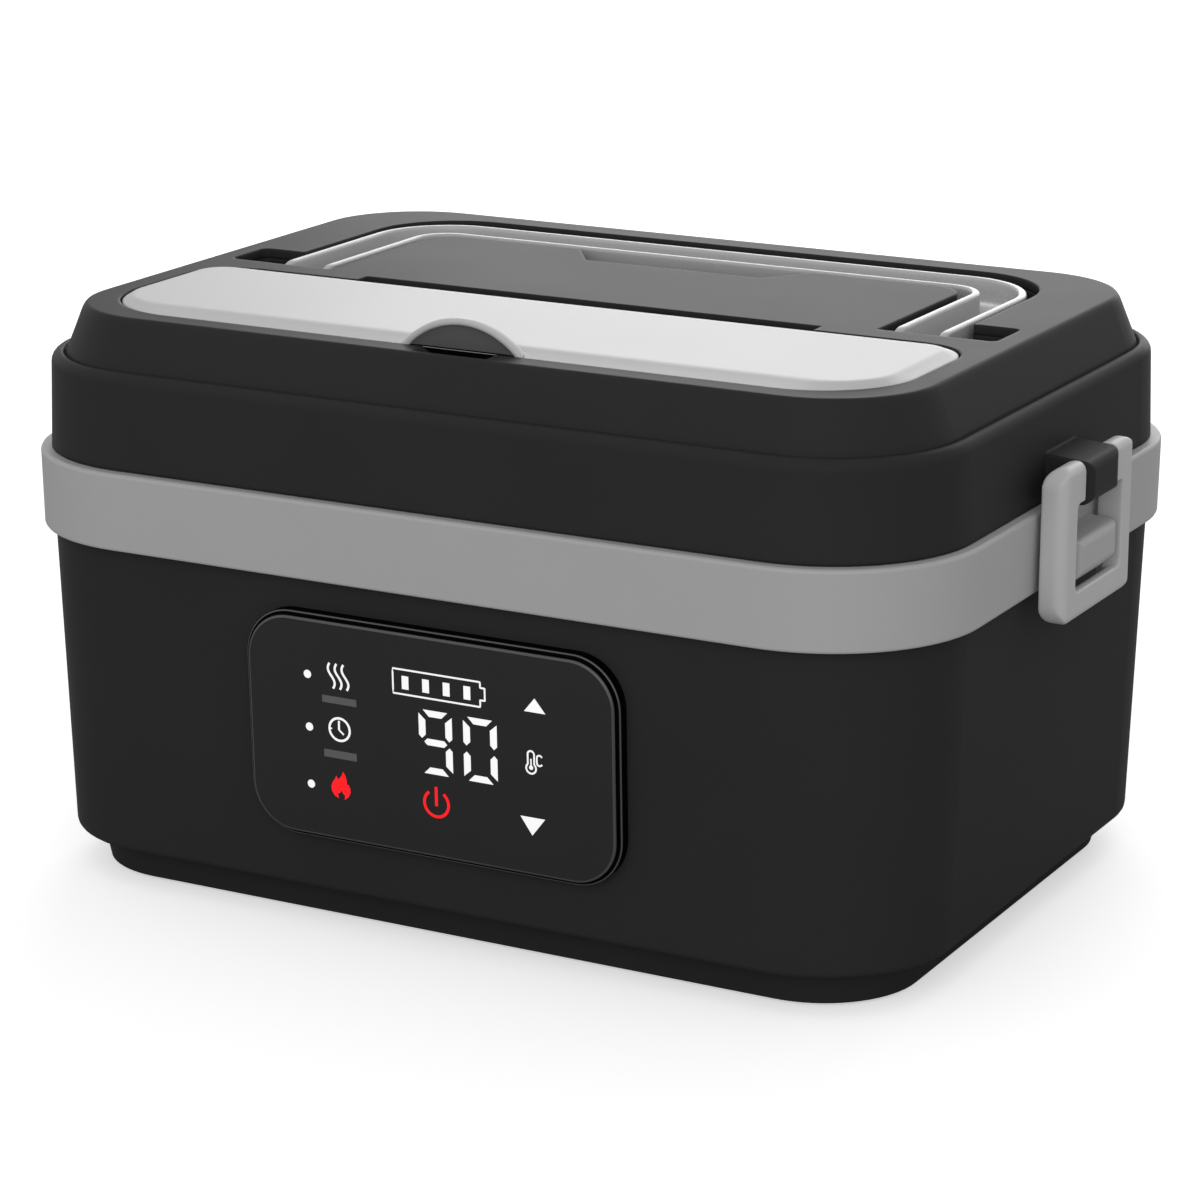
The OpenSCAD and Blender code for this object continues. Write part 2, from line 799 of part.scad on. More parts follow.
module handle_well() {
  front = slot_back + 2;
  color("#2b2b2b")
    under_lid(well_floor - 1.8)
      union() {
        box([-handle_w / 2 - well_gap - 2, front, 0], [handle_w / 2 + well_gap + 2, well_back + 2, lid_top]);
        box([-handle_w / 2 - pocket_out - 2, front, 0], [handle_w / 2 + pocket_out + 2, pocket_back + 2, lid_top]);
      }
}

module lid_cuts() {
  // compartment, its ledge for the cover, and the relief slot behind the cover
  translate([0, 0, tray_floor])
    linear_extrude(lid_top)
      difference() {
        round_rect(cover_w - 2 * tray_inset, cover_back - cover_front - 2 * tray_inset, 10,
                   [0, (cover_back + cover_front) / 2]);
      }
  translate([0, 0, cover_low - 0.05])
    linear_extrude(10)
      union() {
        cover_plan(cover_gap);
        translate([0, cover_back - 1])
          square([cover_w - 2 * cover_rear_r, 2 * (1 + hinge_gap)], center = true);
      }
  box([-slot_half, cover_back - 7, hinge_low - 0.6], [slot_half, slot_back, lid_top + 1]);
  // thumb relief in the lid's front strip
  translate([panel_x, cover_front - 1, lid_top])
    rotate([90, 0, 0])
      linear_extrude(9, center = true)
        intersection() {
          translate([0, 14])
            circle(17);
          square([tab_w - 2, 8], center = true);
        }
  // handle well and finger pockets
  translate([0, 0, well_floor])
    linear_extrude(lid_top)
      handle_plan(well_gap, core_gap, well_back - handle_back, handle_front - 0.5);
  for (sx = [-1, 1])
    translate([0, 0, well_floor])
      linear_extrude(lid_top)
        translate([sx * (handle_w / 2 + pocket_out / 2 - 1), (pocket_back + handle_front - 0.3) / 2])
          round_rect(pocket_out + 2, pocket_back - handle_front + 0.3, pocket_r);
  // finger scoop at the back of the centre panel
  core_back = handle_back - handle_b - core_gap;
  translate([0, 0, lid_top - scoop_drop])
    linear_extrude(scoop_drop + 1)
      polygon([[-scoop_half, core_back + 1], [-scoop_half + 9, core_back - scoop_len],
               [scoop_half - 9, core_back - scoop_len], [scoop_half, core_back + 1]]);
  // underside: hollow below the centre panel
  box([-core_half + 13, slot_back + 4, 0], [core_half - 13, core_back - scoop_len - 4, lid_top - 5]);
  // pin bores
  for (sx = [-1, 1]) {
    translate([sx * core_half, handle_pivot_y, handle_pivot_z])
      rotate([0, 90, 0])
        cylinder(h = 2 * handle_pin_in, r = handle_pin_r, center = true);
    translate([sx * clip_pivot_x, 0, clip_pivot_z])
      rotate([90, 0, 0])
        cylinder(h = block_w + 2, r = clip_pin_r, center = true);
  }
  translate([0, hinge_y, hinge_z])
    rotate([0, 90, 0])
      cylinder(h = 2 * slot_half + 12, r = hinge_pin_r, center = true);
  for (p = lid_screw_at)
    translate([p[0], p[1], lid_base])
      cylinder(h = lid_screw_len + 7, r = lid_screw_r);
}

module lid_shell() {
  color("#2b2b2b")
    difference() {
      union() {
        crown_wall();
        slab(top_inset + 2, lid_top - wall, lid_top);
      }
      lid_cuts();
    }
}

module lid_skirt() {
  color("#2b2b2b")
    difference() {
      union() {
        skirt_wall();
        for (p = lid_screw_at)
          translate([p[0], p[1], lid_base + 2.4])
            cylinder(h = under_ledge_z - lid_base - 2.7, r = lid_post_r);
        for (sx = [0, 1])
          mirror([sx, 0, 0])
            clip_block();
      }
      lid_cuts();
    }
}

module lid_liner() {
  plug = pot_inset + pot_t + 1.2;
  color("#b9bcbe")
    difference() {
      union() {
        slab(skirt_low_inset + wall + 0.6, lid_base, lid_base + 2.2);
        slab(plug, lid_base - 6, lid_base + 1);
      }
      slab(plug + 2, lid_base - 4, lid_base + 5);
      for (p = lid_screw_at)
        translate([p[0], p[1], lid_base - 1])
          cylinder(h = 6, r = lid_screw_r + 0.25);
    }
  color("#b9bcbe")
    slab(plug + 1.9, lid_base - 6, lid_base - 4);
}

module lid_seal() {
  color("#d6d2ca")
    difference() {
      slab(pot_inset - 4.4, flange_z + pot_rim_h + 0.15, lid_base);
      slab(pot_inset + pot_t - 0.4, 0, lid_base + 5);
    }
}

module lid_screws() {
  color("#b8b8b8")
    for (p = lid_screw_at)
      screw(p, lid_base, lid_screw_r, lid_screw_len, lid_head_r, lid_head_h);
}

// ---- clips ----

// outline of a clip seen from the side of the box, in (y, z)
module clip_outline() {
  top = clip_pivot_z + clip_head;
  difference() {
    union() {
      round_rect(clip_w, top - clip_low - clip_corner, clip_top_r, [0, (top + clip_low + clip_corner) / 2]);
      translate([-clip_w / 2 + clip_corner, clip_low])
        square([clip_w - 2 * clip_corner, clip_corner * 2]);
      translate([-clip_w / 2, clip_low + clip_corner])
        square([clip_w, clip_corner]);
      for (sx = [-1, 1])
        translate([sx * (clip_w / 2 - clip_corner), clip_low + clip_corner])
          circle(clip_corner);
    }
    round_rect(clip_window_w, clip_stub_z - clip_window_low, 1.5, [0, (clip_stub_z + clip_window_low) / 2]);
    translate([-block_w / 2 - clip_block_gap, clip_window_low + 4])
      square([block_w + 2 * clip_block_gap, top]);
  }
}

// section of a clip's arm seen along y, in (x, z): a bar with four different round edges
module clip_section() {
  top = clip_pivot_z + clip_head;
  polygon(concat(
    arc([clip_back + clip_heel, clip_low + clip_heel], clip_heel, 180, 270, 6),
    arc([clip_face - clip_soft, clip_low + clip_soft], clip_soft, 270, 360, 6),
    arc([clip_face - clip_soft, top - clip_soft], clip_soft, 0, 90, 6),
    arc([clip_back + clip_nape, top - clip_nape], clip_nape, 90, 180, 6)));
}

// closed clip on the +X side
module clip() {
  difference() {
    intersection() {
      translate([half_w - 4, 0, 0])
        rotate([90, 0, 90])
          linear_extrude(16)
            clip_outline();
      translate([0, clip_w / 2 + 1, 0])
        rotate([90, 0, 0])
          linear_extrude(clip_w + 2)
            clip_section();
      translate([0, 0, clip_low - 1])
        linear_extrude(clip_pivot_z + clip_head - clip_low + 2)
          round_rect(2 * clip_face, clip_w, 2.8);
    }
    translate([clip_pivot_x, 0, clip_pivot_z])
      rotate([90, 0, 0])
        cylinder(h = clip_w - 2 * clip_skin, r = clip_pin_r + running, center = true);
    // the lower bar is thinner than the arms, with a lead-in along its inner top edge
    relief = clip_window_w / 2 + 0.3;
    box([clip_back - 1, -relief, clip_low - 1], [clip_bar_back, relief, clip_window_low + 1.9]);
    translate([clip_bar_back, 0, clip_window_low])
      rotate([0, 45, 0])
        cube([3, clip_window_w - 4, 3], center = true);
  }
}

module clip_right() {
  color("#9a9a9a")
    clip();
}

module clip_left() {
  color("#9a9a9a")
    mirror([1, 0, 0])
      clip();
}

module clip_pins() {
  color("#c4c6c8")
    for (sx = [-1, 1])
      translate([sx * clip_pivot_x, 0, clip_pivot_z])
        rotate([90, 0, 0])
          cylinder(h = clip_w - 2 * clip_skin - 1, r = clip_pin_r, center = true);
}

// ---- handle ----

// room above the channel's floor: deep along the arms, ramped up to a shallow grip
module channel_room() {
  low = lid_top - handle_h + handle_t + 0.3;
  ramp = handle_back - handle_r - grip_lead;
  translate([-half_w, 0, 0])
    rotate([90, 0, 90])
      linear_extrude(body_w)
        polygon([[handle_front - 6, low], [ramp, low], [ramp + grip_ramp, grip_floor], [half_d, grip_floor],
                 [half_d, lid_top + 2], [handle_front - 6, lid_top + 2]]);
}

module handle() {
  color("#c9c9c9")
    difference() {
      union() {
        intersection() {
          difference() {
            translate([0, 0, lid_top - handle_h])
              linear_extrude(handle_h)
                handle_plan(0, 0, 0, handle_front);
            intersection() {
              translate([0, 0, lid_top - handle_h])
                linear_extrude(2 * handle_h)
                  handle_plan(-handle_t, -handle_t, -handle_t, handle_front - 5);
              channel_room();
            }
          }
          translate([-half_w, 0, 0])
            rotate([90, 0, 90])
              linear_extrude(body_w)
                union() {
                  translate([handle_pivot_y, handle_pivot_z])
                    circle(handle_h / 2);
                  translate([handle_pivot_y, lid_top - handle_h])
                    square([handle_back + 5, handle_h]);
                }
        }
        for (sx = [-1, 1])
          translate([sx * (handle_w - handle_b) / 2, handle_pivot_y, handle_pivot_z])
            rotate([0, 90, 0])
              cylinder(h = handle_b - 1, r = 3.2, center = true);
      }
      for (sx = [-1, 1])
        translate([sx * ((handle_w - handle_b) / 2 - 1), handle_pivot_y, handle_pivot_z])
          rotate([0, 90, 0])
            cylinder(h = handle_b, r = handle_pin_r + running, center = true);
    }
}

module handle_pins() {
  color("#c4c6c8")
    for (sx = [-1, 1])
      translate([sx * (core_half - handle_pin_in + handle_pin_l / 2), handle_pivot_y, handle_pivot_z])
        rotate([0, 90, 0])
          cylinder(h = handle_pin_l, r = handle_pin_r, center = true);
}

// ---- cutlery cover ----

knuckle_at = [for (sx = [-1, 1]) for (k = [18, 48]) sx * k];
knuckle_l = 9;

module tab_plan(h, w) {
  // segment of a circle standing on a chord
  r = (w * w / 4 + h * h) / (2 * h);
  intersection() {
    translate([0, h - r])
      circle(r);
    translate([-w, cover_low - lid_top])
      square([2 * w, h + 4]);
    square([w + 2, 40], center = true);
  }
}

module cutlery_cover() {
  color("#dedede")
    difference() {
      union() {
        hull() {
          translate([0, 0, cover_low])
            linear_extrude(0.9, $fn = 32)
              cover_plan(0);
          translate([0, 0, cover_low])
            linear_extrude(lid_top - cover_low)
              cover_plan(0, bevel_front, bevel_side);
        }
        translate([panel_x, cover_front + 2.4, lid_top])
          rotate([90, 0, 0])
            linear_extrude(2.4)
              tab_plan(tab_h, tab_w);
      }
      // hollow underside, open at the hinge edge
      translate([0, 0, cover_low - 1])
        linear_extrude(lid_top - cover_t - cover_low + 1)
          cover_plan(0, bevel_front + 3, bevel_side + 3);
      // undercut of the hinge edge, so that it clears the lid as the cover turns up
      translate([-half_w, 0, 0])
        rotate([90, 0, 90])
          linear_extrude(body_w)
            polygon([[cover_back + 1, lid_top - hinge_gap], [cover_back, lid_top - hinge_gap],
                     [cover_back - 2, lid_top - hinge_gap - 2], [cover_back - 2, cover_low - 1],
                     [cover_back + 1, cover_low - 1]]);
      // dished front of the tab
      translate([panel_x, cover_front + 1, lid_top])
        rotate([90, 0, 0])
          linear_extrude(2)
            tab_plan(tab_h - 1.5, tab_w - 4);
    }
}

// strip under the cover's rear edge that carries its hinge knuckles
module cover_hinge() {
  top = lid_top - cover_t;
  color("#3a3a3a")
    difference() {
      union() {
        box([-slot_half + 3, cover_back - 6, hinge_low], [slot_half - 3, cover_back - 2, top]);
        for (x = knuckle_at) {
          box([x - knuckle_l / 2, cover_back - 3, hinge_low], [x + knuckle_l / 2, hinge_y, hinge_z + 0.3]);
          translate([x, hinge_y, hinge_z])
            rotate([0, 90, 0])
              cylinder(h = knuckle_l, r = hinge_r, center = true);
        }
      }
      for (x = knuckle_at)
        translate([x, hinge_y, hinge_z])
          rotate([0, 90, 0])
            cylinder(h = knuckle_l + 2, r = hinge_pin_r + running, center = true);
    }
}

module thumb_pad() {
  color("#555555")
    translate([panel_x, cover_front + 1, lid_top])
      rotate([90, 0, 0])
        linear_extrude(0.6)
          tab_plan(tab_h - 1.5, tab_w - 4);
}

module cover_pin() {
  color("#c4c6c8")
    translate([0, hinge_y, hinge_z])
      rotate([0, 90, 0])
        cylinder(h = 2 * slot_half + 10, r = hinge_pin_r, center = true);
}

outer_shell();
rim_band();
base_cover();
rubber_feet();
base_screws();
heating_liner();
insulation();
heat_spreader();
ptc_heater();
temp_sensor();
thermal_fuse();
battery_cells();
battery_holder();
battery_tabs();
power_leads();
control_board();
control_parts();
display_board();
ribbon_cable();
panel_bezel();
touch_panel();
charge_socket();
food_container();
lid_shell();
lid_skirt();
cutlery_tray();
handle_well();
lid_liner();
lid_seal();
lid_screws();
handle();
handle_pins();
clip_right();
clip_left();
clip_pins();
cutlery_cover();
cover_hinge();
cover_pin();
thumb_pad();
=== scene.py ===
"""Electric lunch box: looks laid over its frame of CAD nodes.

Metres, +Z up, the control panel faces -Y. Nodes whose shapes are right keep their meshes and get a
procedural finish. The handle, side clips, cutlery cover, thumb tab and panel are surfaces worked out here.
"""
import sys
import json
import logging
import math
from dataclasses import dataclass, field
from enum import Enum
from typing import Sequence

import bmesh
import bpy
import numpy as np
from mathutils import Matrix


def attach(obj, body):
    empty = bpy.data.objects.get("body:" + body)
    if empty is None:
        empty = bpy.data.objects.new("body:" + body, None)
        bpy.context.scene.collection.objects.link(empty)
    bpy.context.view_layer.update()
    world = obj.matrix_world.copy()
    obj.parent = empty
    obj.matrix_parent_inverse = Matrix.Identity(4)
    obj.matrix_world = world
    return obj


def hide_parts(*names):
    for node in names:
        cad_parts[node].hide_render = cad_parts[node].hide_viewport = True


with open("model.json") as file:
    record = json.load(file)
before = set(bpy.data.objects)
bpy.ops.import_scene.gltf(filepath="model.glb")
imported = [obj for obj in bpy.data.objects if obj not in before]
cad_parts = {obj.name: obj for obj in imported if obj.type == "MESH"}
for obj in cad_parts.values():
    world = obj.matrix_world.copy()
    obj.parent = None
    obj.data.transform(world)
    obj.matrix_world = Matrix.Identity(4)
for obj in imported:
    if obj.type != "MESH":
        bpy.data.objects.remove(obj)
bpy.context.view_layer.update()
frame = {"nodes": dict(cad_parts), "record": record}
MM = 0.001
log = logging.getLogger("lunch_box")


# ---- shader nodes ----


class Socket:
    """One output of a shader node; plain arithmetic on it adds Math nodes."""

    def __init__(self, canvas: "Canvas", out: bpy.types.NodeSocket) -> None:
        """Keeps the output and the canvas that it belongs to."""
        self.canvas = canvas
        self.out = out

    def __add__(self, other: "Socket | float") -> "Socket":
        """Sum."""
        return self.canvas.math("ADD", self, other)

    def __radd__(self, other: float) -> "Socket":
        """Sum, reflected."""
        return self.canvas.math("ADD", other, self)

    def __sub__(self, other: "Socket | float") -> "Socket":
        """Difference."""
        return self.canvas.math("SUBTRACT", self, other)

    def __rsub__(self, other: float) -> "Socket":
        """Difference, reflected."""
        return self.canvas.math("SUBTRACT", other, self)

    def __mul__(self, other: "Socket | float") -> "Socket":
        """Product."""
        return self.canvas.math("MULTIPLY", self, other)

    def __rmul__(self, other: float) -> "Socket":
        """Product, reflected."""
        return self.canvas.math("MULTIPLY", other, self)

    def __truediv__(self, other: "Socket | float") -> "Socket":
        """Quotient."""
        return self.canvas.math("DIVIDE", self, other)

    def __rtruediv__(self, other: float) -> "Socket":
        """Quotient, reflected."""
        return self.canvas.math("DIVIDE", other, self)

    def __gt__(self, other: "Socket | float") -> "Socket":
        """One where this is larger, else zero."""
        return self.canvas.math("GREATER_THAN", self, other)

    def __pow__(self, other: "Socket | float") -> "Socket":
        """Power."""
        return self.canvas.math("POWER", self, other)

    def within(self, low: float, high: float) -> "Socket":
        """The value held between two limits.

        Args:
            low: lowest value.
            high: highest value.

        Returns:
            The limited value.
        """
        return self.canvas.math("MINIMUM", self.canvas.math("MAXIMUM", self, low), high)


class Canvas:
    """The node tree of one material or of the world."""

    def __init__(self, tree: bpy.types.NodeTree) -> None:
        """Starts from an empty tree."""
        self.tree = tree
        tree.nodes.clear()

    def node(self, kind: str, inputs: dict | None = None, pick: str | int = 0, **settings: object) -> Socket:
        """Adds any node.

        Args:
            kind: the node's type without its ShaderNode prefix.
            inputs: values or sockets by input name or index.
            pick: the output to return.
            **settings: the node's own properties.

        Returns:
            The picked output.
        """
        made = self.tree.nodes.new("ShaderNode" + kind)
        for key, value in settings.items():
            setattr(made, key, value)
        for key, value in (inputs or {}).items():
            if isinstance(value, Socket):
                self.tree.links.new(value.out, made.inputs[key])
            else:
                made.inputs[key].default_value = value
        return Socket(self, made.outputs[pick])

    def math(self, operation: str, a: "Socket | float", b: "Socket | float" = 0.0) -> Socket:
        """Adds a Math node and returns its value."""
        return self.node("Math", {0: a, 1: b}, operation=operation)

    def blend(self, share: "Socket | float", a: object, b: object) -> Socket:
        """Mixes two colours; share 0 gives a, 1 gives b."""
        return self.node("Mix", {0: share, 6: a, 7: b}, pick=2, data_type="RGBA")

    def noise(self, place: Socket, scale: float, detail: float = 2.0, rough: float = 0.5) -> Socket:
        """Adds a noise texture and returns its value, about 0.5 on average."""
        return self.node("TexNoise", {"Vector": place, "Scale": scale, "Detail": detail, "Roughness": rough})

    def stretch(self, place: Socket, scale: Sequence[float]) -> Socket:
        """Scales a place along each axis, so that noise on it runs in streaks."""
        return self.node("Mapping", {"Vector": place, "Scale": tuple(scale)})

    def close(self, shader: Socket, kind: str = "OutputMaterial") -> None:
        """Links a shader to the tree's output."""
        out = self.tree.nodes.new("ShaderNode" + kind)
        self.tree.links.new(shader.out, out.inputs["Surface"])


# ---- finishes ----


class Grain(Enum):
    """How a surface is worked."""

    SPARK = "spark-eroded moulding"
    BRUSH_X = "brushed along X"
    BRUSH_Z = "drawn along Z"
    FIBRE = "fibre mat"
    TRACES = "laminate with copper lines"
    CLEAR = "polished"


@dataclass(frozen=True)
class Finish:
    """A surface's colour, sheen and grain, turned into one material."""

    slot: str
    colour: tuple[float, float, float]
    rough: float = 0.45
    level: float = 0.5
    metallic: float = 0.0
    grain: Grain = Grain.SPARK
    grain_mm: float = 0.4
    depth_mm: float = 0.006
    tone: float = 0.05
    sheen_drift: float = 0.05
    edge_mm: float = 0.0
    coat: float = 0.0
    glow: float = 0.0

    def relief(self, canvas: Canvas, place: Socket) -> Socket:
        """Height of the grain, from 0 to 1, by its way of working.

        Args:
            canvas: the material's nodes.
            place: the point on the object.

        Returns:
            The height: two sizes of noise for a moulding, noise stretched forty times for a brushed
            metal, thin crossing noise for fibres, and stepped wide noise for copper lines.
        """
        fine = 1.0 / (self.grain_mm * MM)
        if self.grain is Grain.BRUSH_X:
            return canvas.noise(canvas.stretch(place, (0.025, 1.0, 1.0)), fine, 3.0)
        if self.grain is Grain.BRUSH_Z:
            return canvas.noise(canvas.stretch(place, (1.0, 1.0, 0.025)), fine, 3.0)
        if self.grain is Grain.FIBRE:
            along = canvas.noise(canvas.stretch(place, (0.08, 1.0, 1.0)), fine, 4.0)
            across = canvas.noise(canvas.stretch(place, (1.0, 0.08, 1.0)), fine, 4.0)
            return 0.5 * along + 0.5 * across
        if self.grain is Grain.TRACES:
            wide = canvas.noise(canvas.stretch(place, (1.0, 0.2, 1.0)), fine * 0.5, 0.0)
            return (wide * 6.0 - 2.6).within(0.0, 1.0)
        if self.grain is Grain.CLEAR:
            return canvas.noise(place, 60.0, 1.0)
        return 0.65 * canvas.noise(place, fine, 2.0) + 0.35 * canvas.noise(place, fine * 0.37, 1.0)

    def make(self, name: str = "") -> bpy.types.Material:
        """Builds the material.

        Args:
            name: the material's name, or nothing for the slot's own.

        Returns:
            The material: colour drifts by `tone` with slow noise and darkens a little in the grain's
            hollows; roughness follows both; the grain is a bump over rounded edges.
        """
        paint = bpy.data.materials.new(name or self.slot)
        paint.use_nodes = True
        canvas = Canvas(paint.node_tree)
        place = canvas.node("TexCoord", pick="Object")
        relief = self.relief(canvas, place)
        drift = canvas.noise(place, 28.0, 3.0)
        share = (0.7 * drift + 0.3 * relief).within(0.0, 1.0)
        low = tuple(c * (1.0 - self.tone) for c in self.colour) + (1.0,)
        high = tuple(min(c * (1.0 + self.tone), 1.0) for c in self.colour) + (1.0,)
        colour = canvas.blend(share, low, high)
        rough = self.rough + self.sheen_drift * (drift - 0.5) + self.sheen_drift * (relief - 0.5)
        rough = rough.within(0.02, 1.0)
        normal = {"Height": relief, "Distance": self.depth_mm * MM, "Strength": 1.0}
        if self.edge_mm:
            normal["Normal"] = canvas.node("Bevel", {"Radius": self.edge_mm * MM}, samples=8)
        inputs = {
            "Base Color": colour,
            "Roughness": rough,
            "Metallic": self.metallic,
            "Specular IOR Level": self.level,
            "Coat Weight": self.coat,
            "Coat Roughness": 0.06,
            "Normal": canvas.node("Bump", normal),
        }
        if self.glow:
            inputs["Emission Color"] = self.colour + (1.0,)
            inputs["Emission Strength"] = self.glow
        canvas.close(canvas.node("BsdfPrincipled", inputs))
        return paint


def grey(value: float) -> tuple[float, float, float]:
    """A neutral colour."""
    return (value, value, value)


FINISHES = {
    f.slot: f
    for f in (
        Finish("shell_black", grey(0.032), 0.42, 0.02, grain_mm=0.45, depth_mm=0.012, tone=0.12, edge_mm=0.6),
        Finish("lid_black", grey(0.031), 0.45, 0.04, grain_mm=0.45, depth_mm=0.012, tone=0.12, edge_mm=1.2),
        Finish("band_grey", grey(0.47), 0.48, 0.35, depth_mm=0.004, tone=0.03, edge_mm=0.5),
        Finish("clip_grey", grey(0.58), 0.4, 0.4, depth_mm=0.004, tone=0.03),
        Finish("handle_grey", grey(0.5), 0.28, 0.6, depth_mm=0.002, tone=0.025, edge_mm=0.5),
        Finish("cover_grey", grey(0.59), 0.44, 0.4, depth_mm=0.003, tone=0.02, edge_mm=1.1),
        Finish("pad_grey", grey(0.1), 0.5, 0.3, grain_mm=0.3, depth_mm=0.01),
        Finish("bezel_black", grey(0.0015), 0.5, 0.02, depth_mm=0.004, tone=0.1),
        # Lighter grey of the shells over the panel's rounded edges: painted highlight lines, with real gloss.
        Finish("panel_edge", grey(0.07), 0.3, 0.5, depth_mm=0.001, tone=0.03),
        Finish("panel_black", grey(0.031), 0.2, 0.08, grain=Grain.CLEAR, depth_mm=0.001, sheen_drift=0.03),
        Finish("rubber", grey(0.018), 0.8, 0.2, grain_mm=0.6, depth_mm=0.03),
        Finish("seal", (0.6, 0.58, 0.55), 0.6, 0.4, grain_mm=0.6, depth_mm=0.01),
        Finish("inner_plastic", (0.55, 0.55, 0.54), 0.5, 0.4, depth_mm=0.005, edge_mm=0.4),
        Finish("stainless", (0.62, 0.62, 0.63), 0.26, 0.5, 1.0, Grain.BRUSH_X, 0.3, 0.003, 0.05, 0.12),
        Finish("pin_steel", (0.6, 0.6, 0.6), 0.28, 0.5, 1.0, Grain.BRUSH_X, 0.2, 0.002, 0.05, 0.1),
        Finish("aluminium", (0.74, 0.74, 0.75), 0.36, 0.5, 1.0, Grain.BRUSH_Z, 0.5, 0.004, 0.05, 0.12),
        Finish("insulation", (0.7, 0.68, 0.62), 0.95, 0.1, 0.0, Grain.FIBRE, 1.2, 0.25, 0.12, 0.05),
        Finish("heater", (0.55, 0.55, 0.57), 0.45, 0.5, 1.0, Grain.BRUSH_X, 0.8, 0.01, 0.08, 0.1),
        Finish("ceramic", (0.8, 0.79, 0.75), 0.3, 0.5, grain_mm=0.8, depth_mm=0.004, coat=0.3),
        Finish("cell_wrap", (0.05, 0.16, 0.35), 0.28, 0.5, grain=Grain.BRUSH_X, grain_mm=1.0,
               depth_mm=0.006, coat=0.4),
        Finish("holder", grey(0.03), 0.5, 0.4, grain_mm=0.5, depth_mm=0.01, edge_mm=0.3),
        Finish("nickel", (0.6, 0.6, 0.58), 0.3, 0.5, 1.0, Grain.BRUSH_Z, 0.3, 0.003, 0.05, 0.1),
        Finish("lead", (0.35, 0.02, 0.015), 0.45, 0.4, grain_mm=0.6, depth_mm=0.006),
        Finish("board", (0.02, 0.14, 0.05), 0.35, 0.5, 0.0, Grain.TRACES, 1.6, 0.02, 0.35, 0.08, coat=0.3),
        Finish("chips", grey(0.018), 0.5, 0.4, grain_mm=0.25, depth_mm=0.006, edge_mm=0.2),
        Finish("ribbon", (0.45, 0.36, 0.2), 0.4, 0.5, 0.0, Grain.BRUSH_Z, 1.2, 0.02, 0.2, 0.08),
    )
}


class Print(Enum):
    """Inks and lights behind the panel's window: name, colour and glow."""

    WHITE = ("print_white", (0.8, 0.8, 0.8), 0.6)
    DIM = ("print_dim", (0.13, 0.13, 0.13), 0.04)
    RED = ("print_red", (0.9, 0.008, 0.012), 0.75)
    DIGIT = ("print_digit", (0.8, 0.8, 0.8), 0.6)

    def make(self) -> bpy.types.Material:
        """Builds the ink's material."""
        name, colour, glow = self.value
        ink = Finish("panel_black", colour, 0.4, 0.3, grain_mm=0.2, depth_mm=0.001, tone=0.03, glow=glow)
        return ink.make(name)


# ---- surfaces ----


class Sheetwork:
    """Collects the grids and plates of one piece and makes them one mesh."""

    def __init__(self) -> None:
        """Starts with no points and no faces."""
        self.points: list[np.ndarray] = []
        self.faces: list[list[int]] = []
        self.count = 0

    def grid(
        self, points: np.ndarray, wrap_rows: bool = False, wrap_cols: bool = True, caps: bool = True
    ) -> None:
        """Adds a grid of points as quads.

        Args:
            points: (rows, columns, 3), in millimetres.
            wrap_rows: joins the last row to the first.
            wrap_cols: joins the last column to the first.
            caps: closes the first and last rows with one face each.
        """
        rows, cols = points.shape[:2]
        i = np.arange(rows if wrap_rows else rows - 1)[:, None]
        j = np.arange(cols if wrap_cols else cols - 1)[None, :]
        after_i, after_j = (i + 1) % rows, (j + 1) % cols
        quads = np.stack([i * cols + j, i * cols + after_j, after_i * cols + after_j, after_i * cols + j], -1)
        self.faces.extend((quads.reshape(-1, 4) + self.count).tolist())
        if caps and not wrap_rows:
            ring = np.arange(cols) + self.count
            self.faces.append(ring[::-1].tolist())
            self.faces.append((ring + (rows - 1) * cols).tolist())
        self.points.append(points.reshape(-1, 3))
        self.count += rows * cols

    def build(self, name: str, sharp: float = 32.0) -> bpy.types.Object:
        """Makes the object.

        Args:
            name: the piece's name.
            sharp: edges turned by more than this many degrees stay crisp.

        Returns:
            The object at the origin, faces pointing outwards, shaded smooth between crisp edges.
        """
        mesh = bpy.data.meshes.new(name)
        mesh.from_pydata(np.concatenate(self.points) * MM, [], self.faces)
        work = bmesh.new()
        work.from_mesh(mesh)
        bmesh.ops.remove_doubles(work, verts=work.verts, dist=1e-7)
        bmesh.ops.recalc_face_normals(work, faces=work.faces)
        work.to_mesh(mesh)
        work.free()
        mesh.shade_smooth()
        mesh.set_sharp_from_angle(angle=math.radians(sharp))
        made = bpy.data.objects.new(name, mesh)
        bpy.context.scene.collection.objects.link(made)
        return made


def corner_fan(
    half_w: float, half_h: float, radii: Sequence[float], steps: int = 10
) -> tuple[np.ndarray, np.ndarray]:
    """Centres and directions of a rounded rectangle's points, anticlockwise from its right side.

    Args:
        half_w: half the width.
        half_h: half the height.
        radii: corner radii: back right, back left, front left, front right.
        steps: parts in each corner.

    Returns:
        The corner centre of each point and the vector from that centre to the outline; a point of an
        outline that lies an inset inwards is the centre plus the vector, shortened by the inset.
    """
    signs = np.array([(1, 1), (-1, 1), (-1, -1), (1, -1)], float)
    radii = np.asarray(radii, float)[:, None]
    centres = signs * np.concatenate([half_w - radii, half_h - radii], 1)
    turn = np.linspace(0, math.pi / 2, steps + 1)[None, :] + np.arange(4)[:, None] * math.pi / 2
    spokes = np.stack([np.cos(turn), np.sin(turn)], -1) * radii[..., None]
    return np.repeat(centres, steps + 1, 0), spokes.reshape(-1, 2)


